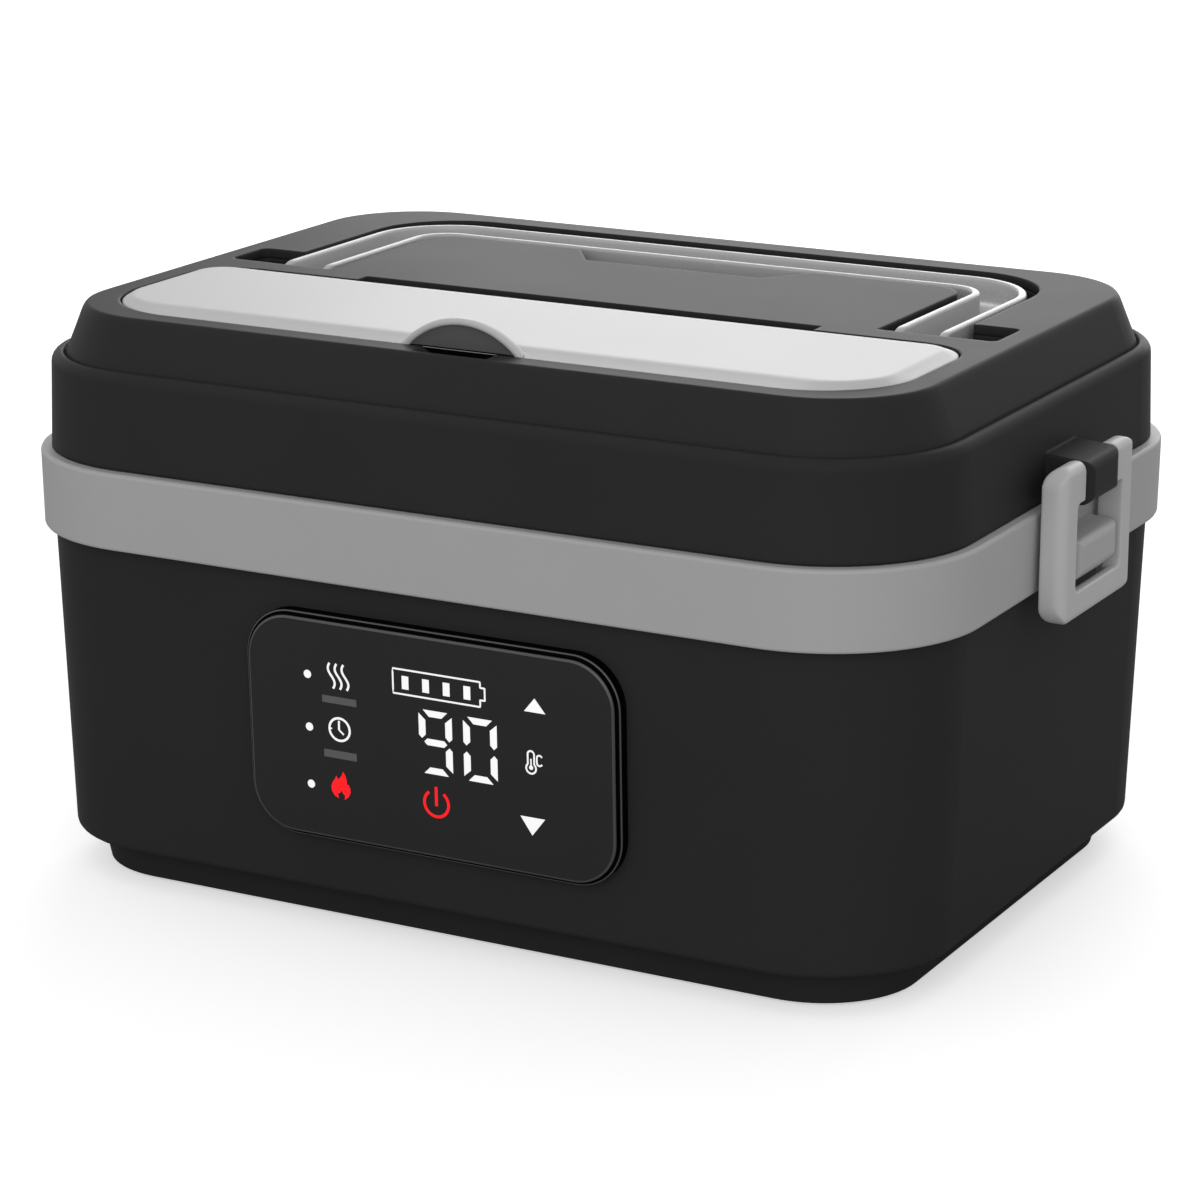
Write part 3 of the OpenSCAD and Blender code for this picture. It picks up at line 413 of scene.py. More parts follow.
def inset_outline(centres: np.ndarray, spokes: np.ndarray, inset: np.ndarray) -> np.ndarray:
    """Outlines at several insets: centre plus direction times (radius less inset).

    Args:
        centres: corner centre of each point.
        spokes: vector from the centre to the outline.
        inset: one inset for each row.

    Returns:
        Points, (rows, columns, 2).
    """
    radius = np.linalg.norm(spokes, axis=1, keepdims=True)
    return centres[None] + spokes[None] / radius[None] * (radius[None] - np.asarray(inset)[:, None, None])


def lip_section(half_w: np.ndarray, half_h: np.ndarray, round_by: float, steps: int = 4) -> np.ndarray:
    """Rounded rectangles of several sizes, one for each station of a path.

    Args:
        half_w: half widths, one for each station.
        half_h: half heights, one for each station.
        round_by: corner radius, held to the half sizes.
        steps: parts in each corner.

    Returns:
        Points (stations, columns, 2): corner centre plus the radius times (cos, sin).
    """
    r = np.minimum(np.minimum(round_by, half_w * 0.98), half_h * 0.98)[:, None]
    quarter = np.linspace(0, math.pi / 2, steps + 1)[None, :]
    turn = (quarter + np.arange(4)[:, None] * math.pi / 2).reshape(1, -1)
    side = np.repeat(np.array([1, -1, -1, 1.0]), steps + 1)[None, :]
    up = np.repeat(np.array([1, 1, -1, -1.0]), steps + 1)[None, :]
    across = side * (half_w[:, None] - r) + r * np.cos(turn)
    return np.stack([across, up * (half_h[:, None] - r) + r * np.sin(turn)], -1)


def dress(
    piece: bpy.types.Object, body: str, slot: str, paint: bpy.types.Material, *nodes: str
) -> bpy.types.Object:
    """Gives a new piece its body and material and hides the nodes that it stands for.

    Args:
        piece: the new piece.
        body: the body that it rides on.
        slot: the record's material slot; not used.
        paint: its material.
        *nodes: CAD nodes that it replaces.

    Returns:
        The piece.
    """
    piece.data.materials.clear()
    piece.data.materials.append(paint)
    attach(piece, body)
    if nodes:
        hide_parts(*nodes)
    log.info("%-20s rides %-10s %6d faces", piece.name, body, len(piece.data.polygons))
    return piece


# ---- studio ----


@dataclass
class Studio:
    """Camera, floor, world and lamps."""

    camera_at: tuple[float, float, float] = (0.43548, -0.80892, 0.32679)
    camera_turn: tuple[float, float, float] = (73.95, 0.0, 28.36)
    lens: float = 118.0
    ambient: float = 0.52
    floor_tone: float = 0.5
    floor_seen: float = 0.95
    floor_glow: float = 0.5
    lamps: tuple = (
        ("lamp_back", (-0.35, 1.5, 0.66), 1.3, 11.0),
        ("lamp_front", (0.5, -1.7, 0.6), 1.8, 11.0),
    )

    def camera(self) -> None:
        """Makes the camera at the photograph's viewing angle."""
        data = bpy.data.cameras.new("camera")
        data.lens, data.sensor_width = self.lens, 36.0
        made = bpy.data.objects.new("camera", data)
        made.location = self.camera_at
        made.rotation_euler = tuple(math.radians(a) for a in self.camera_turn)
        bpy.context.scene.collection.objects.link(made)
        bpy.context.scene.camera = made

    def world(self) -> None:
        """Makes the world: white to the eye and to reflections, softer as light on surfaces."""
        world = bpy.data.worlds.new("studio")
        world.use_nodes = True
        bpy.context.scene.world = world
        canvas = Canvas(world.node_tree)
        seen = canvas.node("LightPath", pick="Is Camera Ray")
        shone = canvas.node("LightPath", pick="Is Glossy Ray")
        through = canvas.node("LightPath", pick="Is Transmission Ray")
        white = (seen + shone + through).within(0.0, 1.0)
        strength = self.ambient + (1.0 - self.ambient) * white
        canvas.close(canvas.node("Background", {"Color": (1, 1, 1, 1), "Strength": strength}), "OutputWorld")

    def floor(self) -> None:
        """Makes the pale floor: near white to the eye, where it keeps the shadow, and greyer as light."""
        mesh = bpy.data.meshes.new("floor")
        far = 12.0
        mesh.from_pydata([(-far, -far, 0), (far, -far, 0), (far, far, 0), (-far, far, 0)], [], [(0, 1, 2, 3)])
        made = bpy.data.objects.new("floor", mesh)
        bpy.context.scene.collection.objects.link(made)
        paint = bpy.data.materials.new("floor")
        paint.use_nodes = True
        canvas = Canvas(paint.node_tree)
        seen = canvas.node("LightPath", pick="Is Camera Ray")
        tone = canvas.blend(seen, (self.floor_tone,) * 3 + (1.0,), (self.floor_seen,) * 3 + (1.0,))
        matt = canvas.node("BsdfDiffuse", {"Color": tone})
        lift = canvas.node("Emission", {"Color": (1, 1, 1, 1), "Strength": seen * self.floor_glow})
        canvas.close(canvas.node("AddShader", {0: matt, 1: lift}))
        mesh.materials.append(paint)

    def light(self) -> None:
        """Makes the soft square lamps, each turned to the box."""
        for name, at, size, power in self.lamps:
            data = bpy.data.lights.new(name, "AREA")
            data.shape, data.size, data.energy = "SQUARE", size, power
            made = bpy.data.objects.new(name, data)
            made.location = at
            away = made.location.copy()
            away.z -= 0.07
            made.rotation_euler = away.to_track_quat("Z", "Y").to_euler()
            bpy.context.scene.collection.objects.link(made)

    def build(self) -> None:
        """Makes the whole studio."""
        self.camera()
        self.world()
        self.floor()
        self.light()
        bpy.context.scene.view_settings.view_transform = "Standard"


# ---- nodes that keep their shapes ----


@dataclass
class KeptNodes:
    """CAD nodes whose shapes are right: each gets its finish."""

    replaced: tuple[str, ...] = (
        "handle", "clip_right", "clip_left", "cutlery_cover", "thumb_pad", "panel_bezel", "touch_panel",
    )
    paints: dict = field(default_factory=dict)

    def paint(self, slot: str) -> bpy.types.Material:
        """The material of a slot, made once."""
        if slot not in self.paints:
            self.paints[slot] = FINISHES[slot].make()
        return self.paints[slot]

    def build(self) -> None:
        """Puts the finish of each kept node in its material slots."""
        for row in frame["record"]["subparts"]:
            name, slot = row["node"], row["material_slot"]
            if name in self.replaced:
                continue
            node = frame["nodes"][name]
            if not node.material_slots:
                node.data.materials.append(None)
            for place in node.material_slots:
                place.material = self.paint(slot)
            log.info("%-20s keeps its mesh, finish %s", name, slot)


# ---- carry handle ----


@dataclass
class CarryHandle:
    """U-shaped handle with an open channel section."""

    arm_x: float = 82.6
    back_y: float = 56.1
    bend: float = 14.4
    front_y: float = -4.6
    half_b: float = 6.6
    wall: float = 2.1
    top: float = 138.1
    low: float = 127.1
    floor_top: float = 128.9
    grip_floor: float = 133.8
    ramp: tuple[float, float] = (40.2, 54.2)
    pivot: tuple[float, float] = (0.9, 132.6)
    eye: float = 5.5
    boss: float = 3.2

    def path(self, front: float, offset: float) -> tuple[np.ndarray, np.ndarray]:
        """Middle line from the right arm's front end round to the left arm's.

        Args:
            front: y at which both arms end.
            offset: distance outwards from the channel's middle line.

        Returns:
            Points and outward directions, each (stations, 2): a straight arm, a quarter circle, the
            grip, a quarter circle and a straight arm. Stations crowd by the cosine at the arm's ends.
        """
        ease = 1 - np.cos(np.linspace(0, math.pi / 2, 22))
        share = np.concatenate([ease[:-1] * 0.14, np.linspace(0.14, 1, 10)])
        ys = front + (self.back_y - self.bend - front) * share
        arm = np.stack([np.full_like(ys, self.arm_x + offset), ys], 1)
        out_arm = np.tile([1.0, 0.0], (len(ys), 1))
        turn = np.linspace(0, math.pi / 2, 17)[1:]
        out_bend = np.stack([np.cos(turn), np.sin(turn)], 1)
        centre = np.array([self.arm_x - self.bend, self.back_y - self.bend])
        bend = centre + out_bend * (self.bend + offset)
        xs = np.linspace(centre[0], 0, 9)[1:]
        grip = np.stack([xs, np.full_like(xs, self.back_y + offset)], 1)
        half = np.concatenate([arm, bend, grip])
        out = np.concatenate([out_arm, out_bend, np.tile([0.0, 1.0], (len(xs), 1))])
        flip = np.array([-1.0, 1.0])
        return np.concatenate([half, half[-2::-1] * flip]), np.concatenate([out, out[-2::-1] * flip])

    def rim(self, y: np.ndarray) -> tuple[np.ndarray, np.ndarray]:
        """Top and bottom heights: level, or on the eye's circle in front of the pivot."""
        rise = np.sqrt(np.clip(self.eye**2 - np.minimum(y - self.pivot[0], 0.0) ** 2, 0.0004, None))
        return self.pivot[1] + rise, self.pivot[1] - rise

    def strip(
        self, work: Sheetwork, front: float, offset: float, half_w: float, span: tuple, round_by: float
    ) -> None:
        """Carries a rounded rectangle along the handle's line.

        Args:
            work: the piece's mesh.
            front: y at which the strip ends.
            offset: distance outwards from the middle line.
            half_w: half the strip's thickness.
            span: lowest and highest z, or None where the rim's own line holds.
            round_by: radius of the strip's edges.
        """
        line, out = self.path(front, offset)
        high, low = self.rim(line[:, 1])
        high = np.minimum(high, span[1]) if span[1] is not None else high
        low = np.maximum(low, span[0]) if span[0] is not None else low
        half_h = np.maximum((high - low) / 2, 0.02)
        section = lip_section(np.full(len(line), half_w), half_h, round_by)
        flat = line[:, None] + out[:, None] * section[..., :1]
        z = (high + low)[:, None] / 2 + section[..., 1]
        work.grid(np.concatenate([flat, z[..., None]], -1))

    def floor(self, work: Sheetwork) -> None:
        """Adds the channel's floor: deep along the arms, then a ramp up to a shallow grip.

        Its height is the arm's floor plus the share of the ramp that lies behind the point, times the
        rise, with the share smoothed as 3 t squared less 2 t cubed.

        Args:
            work: the handle's surfaces so far.
        """
        line, out = self.path(-2.9, 0.0)
        _, low = self.rim(line[:, 1])
        side = np.linspace(1, -1, 9) * (self.half_b - 0.5)
        flat = line[:, None] + out[:, None] * side[None, :, None]
        t = np.clip((flat[..., 1] - self.ramp[0]) / (self.ramp[1] - self.ramp[0]), 0, 1)
        top = self.floor_top + (self.grip_floor - self.floor_top) * t * t * (3 - 2 * t)
        under = np.broadcast_to(low[:, None] + 0.02, top.shape)
        loop = np.concatenate([np.dstack([flat, top]), np.dstack([flat, under])[:, ::-1]], 1)
        work.grid(loop)

    def build(self) -> None:
        """Makes both walls, the channel's floor and the bosses round the pins."""
        work = Sheetwork()
        side = self.half_b - self.wall / 2
        for offset in (side, -side):
            self.strip(work, self.front_y, offset, self.wall / 2, (None, None), 0.8)
        self.floor(work)
        turn = np.linspace(0, 2 * math.pi, 33)[:-1]
        for sign in (1, -1):
            x = sign * self.arm_x + np.array([-1, 1])[:, None] * (self.half_b - 0.6)
            y = self.pivot[0] + self.boss * np.cos(turn)[None]
            z = self.pivot[1] + self.boss * np.sin(turn)[None]
            work.grid(np.stack(np.broadcast_arrays(x, y, z), -1))
        dress(work.build("carry_handle"), "handle", "handle_grey", FINISHES["handle_grey"].make(), "handle")


# ---- side clips ----


@dataclass
class SideClip:
    """A clip with soft edges, from a merged and rounded copy of its node."""

    node: str
    voxel_mm: float = 0.34
    rounds: int = 9

    def build(self, paint: bpy.types.Material) -> None:
        """Copies the node, merges its triangles, fills it with small cells and smooths them.

        Args:
            paint: the clips' material.
        """
        source = frame["nodes"][self.node]
        piece = bpy.data.objects.new(self.node + "_soft", source.data.copy())
        bpy.context.scene.collection.objects.link(piece)
        work = bmesh.new()
        work.from_mesh(piece.data)
        bmesh.ops.remove_doubles(work, verts=work.verts, dist=2e-6)
        bmesh.ops.recalc_face_normals(work, faces=work.faces)
        work.to_mesh(piece.data)
        work.free()
        cells = piece.modifiers.new("cells", "REMESH")
        cells.mode, cells.voxel_size, cells.use_smooth_shade = "VOXEL", self.voxel_mm * MM, True
        soften = piece.modifiers.new("soften", "SMOOTH")
        soften.factor, soften.iterations = 0.5, self.rounds
        depsgraph = bpy.context.evaluated_depsgraph_get()
        mesh = bpy.data.meshes.new_from_object(piece.evaluated_get(depsgraph))
        piece.modifiers.clear()
        piece.data = mesh
        mesh.shade_smooth()
        dress(piece, self.node, "clip_grey", paint, self.node)


# ---- cutlery cover ----


@dataclass
class CutleryCover:
    """Pale cover with a wide sloping border, its thumb tab and the tab's dark face."""

    half_w: float = 101.5
    front: float = -69.3
    back: float = -13.8
    rear_r: float = 12.0
    front_r: float = 23.0
    low: float = 134.8
    edge: float = 137.9
    lid: float = 138.1
    top: float = 139.4
    slope_side: float = 3.45
    slope_front: float = 5.2
    slope_back: float = 5.6
    slope_rear_r: float = 6.0
    slope_front_r: float = 8.6
    thick: float = 2.2
    crease: float = 0.7
    hinge_gap: float = 0.8
    tab_x: float = 1.0
    tab_h: float = 7.0
    tab_w: float = 31.0
    tab_t: float = 2.4
    tab_foot: float = -0.3
    rim: float = 1.5

    def outline(self, slope: float) -> np.ndarray:
        """Plan outline between the cover's edge (slope 0) and the top's edge (slope 1).

        Args:
            slope: share of the way up the sloping border; above 1 it goes on inwards.

        Returns:
            Points (columns, 2), anticlockwise. The sides, both edges and the corners' radii change in
            proportion to the slope.
        """
        half_w = self.half_w - self.slope_side * slope
        front = self.front + self.slope_front * slope
        back = self.back - self.slope_back * slope
        rear_r = self.rear_r - self.slope_rear_r * slope
        front_r = self.front_r - self.slope_front_r * slope
        turn = np.linspace(0, math.pi / 2, 15)
        arc = np.stack([np.cos(turn), np.sin(turn)], 1)
        rear = arc * rear_r + [half_w - rear_r, back - rear_r]
        nose = arc[::-1] * [front_r, -front_r] + [half_w - front_r, front + front_r]
        flip = np.array([-1.0, 1.0])
        return np.concatenate([rear, rear[::-1] * flip, nose[::-1] * flip, nose])

    def plate(self, work: Sheetwork) -> None:
        """Adds the cover as rings from its hollow underside round its edge and up to its flat top.

        Each ring is the outline at one share of the slope, at one height. The crease between the
        border and the top is a parabola of `crease` millimetres either side. Near the hinge the lower
        rings are lifted to a line that falls forwards at 45 degrees, so that the cover clears the lid.

        Args:
            work: the cover's surfaces so far.
        """
        start = 0.1
        rise = (self.top - self.edge) / (1 - start)
        soft = self.crease / self.slope_side
        t = np.linspace(-1, 1, 7)
        crease_s = 1 + soft * t
        crease_z = self.top - rise * soft * (1 - t) ** 2 / 4
        under = self.top - self.thick
        edge_t = np.linspace(0, 1, 5)
        rows = (
            [(1.5, under), (1.45, under), (1.4, self.low)]
            + [(0.0, self.low), (0.0, self.edge - 0.4)]
            + [(start * e * e, self.edge - 0.4 * (1 - e) ** 2) for e in edge_t[1:]]
            + [(s, z) for s, z in zip(crease_s, crease_z)]
            + [(1.3, self.top)]
        )
        rings = np.stack([np.column_stack([self.outline(s), np.full(60, z)]) for s, z in rows])
        bound = self.lid - self.hinge_gap + (rings[..., 1] - self.back)
        rings[..., 2] = np.maximum(rings[..., 2], bound)
        work.grid(rings)

    def arch(self, inset: float, steps: int = 48) -> np.ndarray:
        """The tab's outline in (x, z), from its lower right end over the top to its lower left.

        Args:
            inset: distance inwards from the edge.
            steps: parts in the arch.

        Returns:
            Points (columns, 2): a circle through the tab's crown and foot, cut by upright sides.
        """
        radius = (self.tab_w**2 / 4 + self.tab_h**2) / (2 * self.tab_h)
        half = self.tab_w / 2 + 1.0 - inset
        start = math.acos(half / (radius - inset))
        turn = np.linspace(start, math.pi - start, steps + 1)
        arch = np.stack([np.cos(turn), np.sin(turn)], 1) * (radius - inset) + [0.0, self.tab_h - radius]
        line = np.concatenate([[[half, self.tab_foot]], arch, [[-half, self.tab_foot]]])
        return line + [self.tab_x, self.lid]

    def tab(self, work: Sheetwork) -> None:
        """Adds the tab's rounded rim, a lip carried along the arch, and its back plate.

        Args:
            work: the cover's surfaces so far.
        """
        line = self.arch(self.rim / 2)
        run = np.gradient(line, axis=0)
        out = np.stack([run[:, 1], -run[:, 0]], 1) / np.linalg.norm(run, axis=1, keepdims=True)
        n = len(line)
        section = lip_section(np.full(n, self.rim / 2), np.full(n, self.tab_t / 2), 0.55)
        flat = line[:, None] + out[:, None] * section[..., :1]
        y = self.front + self.tab_t / 2 + section[..., 1]
        work.grid(np.stack([flat[..., 0], y, flat[..., 1]], -1))
        plate = self.arch(self.rim * 0.6)
        depth = np.array([self.front + 1.1, self.front + self.tab_t - 0.05])
        rows = np.stack([np.column_stack([plate[:, 0], np.full(n, d), plate[:, 1]]) for d in depth])
        work.grid(rows)

    def face(self) -> Sheetwork:
        """The tab's dark face: rings of the arch that sink towards its middle like a shallow dish.

        Returns:
            The face's surfaces.
        """
        work = Sheetwork()
        insets = self.rim + np.array([0.02, 0.25, 0.7, 1.6, 3.0])
        sink = np.array([0.55, 0.62, 0.72, 0.8, 0.84])
        lines = [self.arch(inset) for inset in insets]
        rows = [np.insert(line, 1, self.front + deep, 1) for line, deep in zip(lines, sink)]
        back = rows[0] + [0.0, 0.5, 0.0]
        work.grid(np.stack([back] + rows))
        return work

    def painted_shade_strip(self) -> Sheetwork:
        """Painted shade below the tab: a near-black strip in front of the cover's edge that slopes back over
        it; it stands for the shadow there, not for a part.

        Its section in (y, z) is four corners, carried across the tab's width.

        Returns:
            The strip's surfaces.
        """
        work = Sheetwork()
        half = self.tab_w / 2 + 0.2
        x = self.tab_x + np.linspace(half, -half, 9)
        near, far, foot = self.front - 0.12, self.front + 0.95, self.low + 0.1
        path = [(far, foot), (near, foot), (near, self.lid - 0.4), (far, self.lid + 0.04)]
        work.grid(np.stack([np.column_stack([x, np.full(9, y), np.full(9, z)]) for y, z in path], 1))
        return work

    def build(self) -> None:
        """Makes the cover with its tab, the tab's face and a near-black strip that paints the shade below the
        tab.
        """
        work = Sheetwork()
        self.plate(work)
        self.tab(work)
        cover = work.build("cutlery_cover_pale", 20.0)
        dress(cover, "cover", "cover_grey", FINISHES["cover_grey"].make(), "cutlery_cover")
        dress(self.face().build("thumb_face"), "cover", "pad_grey", FINISHES["pad_grey"].make(), "thumb_pad")
        # Near-black strip in the bezel's black finish: painted shade below the thumb tab.
        dress(self.painted_shade_strip().build("thumb_painted_shade"), "cover", "pad_grey", FINISHES["bezel_black"].make())


# ---- control panel ----


@dataclass
class ControlPanel:
    """Two-step frame and window on the tilted front wall, with its signs."""

    centre: tuple[float, float] = (2.5, 50.7)
    wall_y: float = -83.934
    tilt: float = math.radians(1.848)
    half_w: float = 48.5
    half_h: float = 27.1
    radius: float = 12.0
    frame_t: float = 2.9
    plate_t: float = 4.1
    plate_in: float = 1.0
    ink: float = 0.04

    def on_wall(self, flat: np.ndarray, proud: np.ndarray | float) -> np.ndarray:
        """Puts (x, height) points on the tilted wall's plane.

        Args:
            flat: points, the last axis (x, z) as seen on the panel.
            proud: distance outwards from the wall.

        Returns:
            Points in millimetres: the height runs up the leaning wall, and proud runs along its normal.
        """
        run = flat[..., 1] - self.centre[1]
        y = self.wall_y - proud * math.cos(self.tilt) - run * math.sin(self.tilt)
        z = self.centre[1] - proud * math.sin(self.tilt) + run * math.cos(self.tilt)
        return np.stack(np.broadcast_arrays(flat[..., 0], y, z), -1)

    def step(
        self, name: str, profile: Sequence[tuple[float, float]], finish: str, caps: bool, *nodes: str
    ) -> None:
        """Carries a stepped profile round the panel's outline.

        Args:
            name: the piece's name.
            profile: pairs of inset from the outline and height off the wall.
            finish: its finish.
            caps: closes the profile's two ends with flat faces.
            *nodes: the CAD nodes that it replaces.
        """
        pairs = np.array(profile)
        centres, spokes = corner_fan(self.half_w, self.half_h, (self.radius,) * 4, 16)
        flat = inset_outline(centres, spokes, pairs[:, 0]) + np.array(self.centre)
        work = Sheetwork()
        work.grid(self.on_wall(flat, pairs[:, 1:2]), caps=caps)
        slot = "panel_black" if finish == "panel_black" else "bezel_black"
        dress(work.build(name, 40.0), "base", slot, FINISHES[finish].make(name), *nodes)

    def edge(self, inset: float, height: float, soft: float, lift: float = 0.0) -> list[tuple[float, float]]:
        """Profile of a rounded edge: a quarter circle of radius `soft`, raised by `lift`."""
        turn = np.linspace(0, math.pi / 2, 6)
        reach = soft + lift
        return [(inset + soft - reach * math.cos(a), height - soft + reach * math.sin(a)) for a in turn]

    def build(self) -> None:
        """Makes the frame, the window, lighter shells over their rounded edges that paint highlight lines,
        and the signs.
        """
        rim, lip = (0.0, self.frame_t, 0.3), (self.plate_in, self.plate_t, 0.55)
        sill = self.plate_t - lip[2]
        body = [(0.0, 0.02)] + self.edge(*rim)
        body += [(self.plate_in, self.frame_t), (self.plate_in, sill - 0.02), (4.5, sill - 0.02)]
        self.step("panel_frame", body, "bezel_black", True, "panel_bezel")
        pane = [(self.plate_in, sill)] + self.edge(*lip)
        self.step("panel_window", pane, "panel_black", True, "touch_panel")
        # Thin shells just over the rounded edges in a lighter, glossier finish: the lighter colour is painted
        # highlight, the gloss reflects real light.
        self.step("frame_painted_highlight", self.edge(*rim, 0.01), "panel_edge", False)
        self.step("window_painted_highlight", self.edge(*lip, 0.01)[1:], "panel_edge", False)
        for ink, strokes, fills in PanelSigns().groups():
            work = Sheetwork()
            for line, width, closed in strokes:
                self.stroke(work, line, width, closed)
            for shape in fills:
                self.fill(work, shape)
            dress(work.build("sign_" + ink.name.lower(), 20.0), "base", "panel_black", ink.make())

    def stroke(self, work: Sheetwork, line: np.ndarray, width: float, closed: bool) -> None:
        """Adds a line of constant width as a thin raised strip.

        Args:
            work: the signs' mesh.
            line: points (n, 2) on the panel.
            width: the line's width.
            closed: joins its end to its start.
        """
        run = np.roll(line, -1, 0) - np.roll(line, 1, 0) if closed else np.gradient(line, axis=0)
        side = np.stack([run[:, 1], -run[:, 0]], 1) / np.linalg.norm(run, axis=1, keepdims=True) * width / 2
        flat = np.stack([line + side, line + side, line - side, line - side], 1)
        proud = self.plate_t + np.array([-0.02, self.ink, self.ink, -0.02])[None]
        work.grid(self.on_wall(flat, proud), wrap_rows=closed)

    def fill(self, work: Sheetwork, shape: np.ndarray) -> None:
        """Adds a filled outline as a thin raised plate."""
        flat = np.stack([shape, shape])
        proud = self.plate_t + np.array([-0.02, self.ink])[:, None]
        work.grid(self.on_wall(flat, proud))


@dataclass
class PanelSigns:
    """Plain signs behind the window, in (x, z) millimetres on the panel."""

    def arc(self, x: float, z: float, r: float, a0: float, a1: float, n: int = 40) -> np.ndarray:
        """Points of an arc from angle a0 to a1, in degrees."""
        turn = np.radians(np.linspace(a0, a1, n))
        return np.stack([x + r * np.cos(turn), z + r * np.sin(turn)], 1)

    def bar(self, x: float, z: float, w: float, h: float) -> np.ndarray:
        """Corners of an upright rectangle centred on (x, z)."""
        corners = np.array([(-0.5, -0.5), (0.5, -0.5), (0.5, 0.5), (-0.5, 0.5)])
        return corners * [w, h] + [x, z]

    def wave(self, x: float, z: float) -> np.ndarray:
        """A rising heat wave: x swings as the sine of a whole turn over its height."""
        t = np.linspace(-0.5, 0.5, 24)
        return np.stack([x - 0.85 * np.sin(t * 5.4), z + t * 6.0], 1)

    def flame(self, x: float, z: float) -> np.ndarray:
        """Outline of a flame with two tips, a notch at its right and an opening at its foot.

        Args:
            x: its middle.
            z: the height of its middle.

        Returns:
            Points (corners, 2).
        """
        corners = [(0.6, 3.3), (1.2, 2.4), (1.5, 1.2), (1.5, 0.2), (1.9, 0.4), (2.4, -0.6), (2.4, -1.6)]
        corners += [(1.9, -2.6), (0.8, -3.5), (1.0, -2.4), (0.5, -2.1), (0.0, -1.2), (-0.4, -2.0)]
        corners += [(-1.0, -2.2), (-0.8, -3.3), (-1.8, -2.8), (-2.6, -1.6), (-2.65, -0.6), (-2.3, 0.4)]
        corners += [(-1.6, 1.3), (-1.3, 2.0), (-1.0, 1.7), (-0.8, 1.2), (-0.1, 1.9), (0.3, 2.5)]
        return np.array(corners) + [x, z]

    def digit(self, x0: float, x1: float, z0: float, z1: float, lit: str) -> list[np.ndarray]:
        """Separate bars of a seven-bar figure, mitred at the outer corners.

        Args:
            x0: left side.
            x1: right side.
            z0: foot.
            z1: head.
            lit: the lit bars: a head, b and c right, d foot, e and f left, g middle.

        Returns:
            One outline for each lit bar: the head and foot are trapezia, the uprights are cut at 45
            degrees outside and pointed at the middle, and the middle bar is pointed at both ends.
        """
        mid, wide, tall, gap, near = (z0 + z1) / 2, 1.75, 1.55, 1.15, 0.72
        shapes = {}
        for name, z, turn in (("a", z1, -1), ("d", z0, 1)):
            left, right, inner = x0 + gap, x1 - gap, z + turn * tall
            shapes[name] = [(left, z), (right, z), (right - tall, inner), (left + tall, inner)]
        uprights = (("f", x0, 1, z1, -1), ("b", x1, -1, z1, -1), ("e", x0, 1, z0, 1), ("c", x1, -1, z0, 1))
        for name, x, inward, z, turn in uprights:
            start, end = z + turn * 0.95, mid - turn * near
            inner_x = x + inward * wide
            shapes[name] = [(x, start), (inner_x, start + turn * wide * 0.85), (inner_x, end - turn * 0.95),
                            (x + inward * wide * 0.45, end), (x, end - turn * 0.75)]
        half, left, right = tall / 2, x0 + 1.35, x1 - 1.35
        shapes["g"] = [(left, mid), (left + half, mid + half), (right - half, mid + half), (right, mid),
                       (right - half, mid - half), (left + half, mid - half)]
        return [np.array(shapes[name]) for name in lit]

    def polyline(self, *corners: tuple[float, float], steps: int = 6) -> np.ndarray:
        """Points at even shares along each leg between corners."""
        ends = np.array(corners, float)
        share = np.linspace(0, 1, steps + 1)[1:, None]
        legs = [a + (b - a) * share for a, b in zip(ends[:-1], ends[1:])]
        return np.concatenate([ends[:1]] + legs)

    def groups(self) -> list[tuple[Print, list, list]]:
        """All signs by ink.

        Returns:
            For each ink: strokes as (line, width, closed) and filled outlines.
        """
        ring = lambda x, z, r: self.arc(x, z, r, 0, 360, 41)[:-1]
        white = [(self.wave(-22.6 + 1.83 * k, 64.1), 0.55, False) for k in range(3)]
        white += [(ring(-20.9, 51.4, 2.7), 0.55, True)]
        white += [(self.polyline((-21.0, 53.5), (-21.05, 51.3)), 0.5, False)]
        white += [(self.polyline((-21.05, 51.3), (-19.8, 50.3)), 0.4, False)]
        white += [(self.polyline((-23.4, 51.4), (-22.9, 51.4)), 0.3, False)]
        case = [(16.4, 68.35), (16.4, 67.0), (17.55, 67.0), (17.55, 64.1), (16.35, 64.1), (16.35, 62.5)]
        case += [(-6.25, 62.5), (-6.25, 68.35), (16.4, 68.35)]
        white += [(self.polyline(*case)[:-1], 0.42, True)]
        stem = self.arc(29.0, 53.3, 0.82, 0, 180, 16)
        tube = np.concatenate([stem, self.arc(29.0, 50.05, 1.25, 130, 410, 30)])
        white += [(tube, 0.42, True), (self.polyline((29.0, 52.3), (29.0, 50.4)), 0.36, False)]
        upper = self.arc(31.15, 52.7, 0.66, 20, 180, 12)
        letter = np.concatenate([upper, self.arc(31.15, 51.55, 0.66, 180, 340, 12)])
        white += [(letter, 0.4, False)]
        dots = [ring(-29.0, 63.6, 0.98), ring(-29.0, 50.9, 0.98), ring(-29.1, 37.0, 0.98)]
        cells = [self.bar(-3.05 + 5.34 * k, 65.3, 1.75, 3.15) for k in range(4)]
        bulb = [ring(29.0, 50.2, 0.52)]
        up = [np.array([(27.5, 63.3), (32.9, 63.3), (30.2, 66.6)])]
        down = [np.array([(26.0, 38.4), (28.97, 34.1), (32.3, 38.4)])]
        digits = self.digit(0.2, 8.85, 44.55, 59.7, "abcdfg") + self.digit(11.75, 20.4, 44.55, 59.7, "abcdef")
        dim = [self.bar(-20.7, 58.35, 9.1, 1.7), self.bar(-20.9, 45.25, 8.7, 1.85)]
        power = [(self.arc(4.25, 37.6, 3.15, 127, 413, 48), 0.68, False)]
        power += [(self.polyline((4.25, 37.0), (4.25, 41.6)), 0.7, False)]
        return [
            (Print.WHITE, white, dots + cells + bulb + up + down),
            (Print.DIGIT, [], digits),
            (Print.DIM, [], dim),
            (Print.RED, power, [self.flame(-21.0, 37.95)]),
        ]


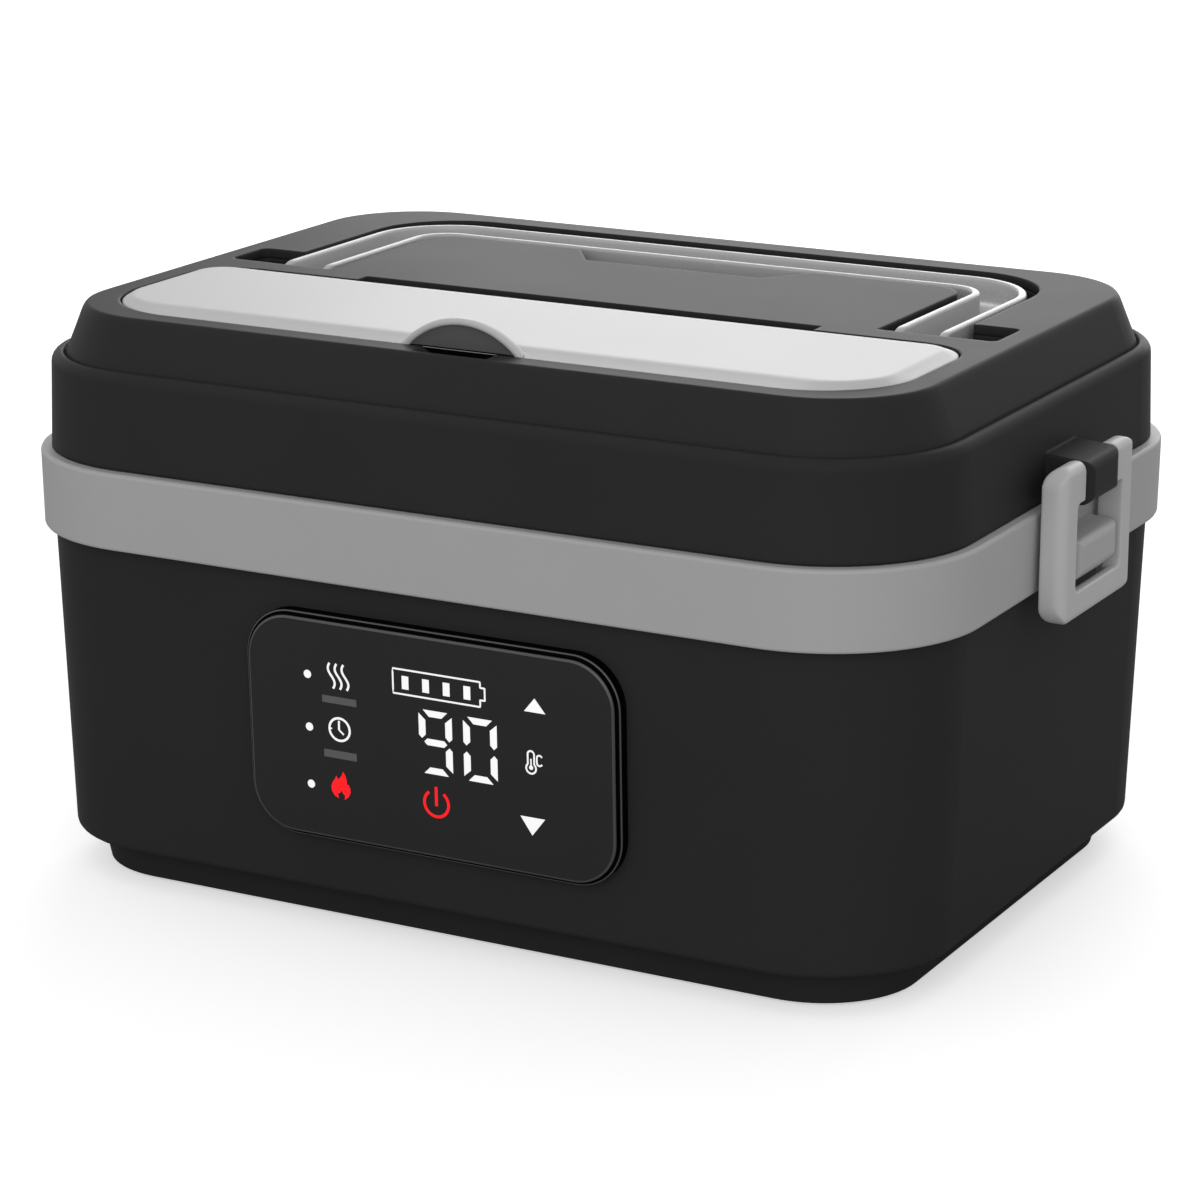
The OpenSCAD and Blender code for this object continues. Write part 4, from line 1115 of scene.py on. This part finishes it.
def main() -> None:
    """Builds the studio and every piece."""
    logging.basicConfig(level=logging.INFO, format="%(name)s: %(message)s", stream=sys.stdout)
    Studio().build()
    KeptNodes().build()
    ControlPanel().build()
    CarryHandle().build()
    clip_paint = FINISHES["clip_grey"].make()
    for node in ("clip_right", "clip_left"):
        SideClip(node).build(clip_paint)
    CutleryCover().build()


if __name__ == "__main__":
    main()
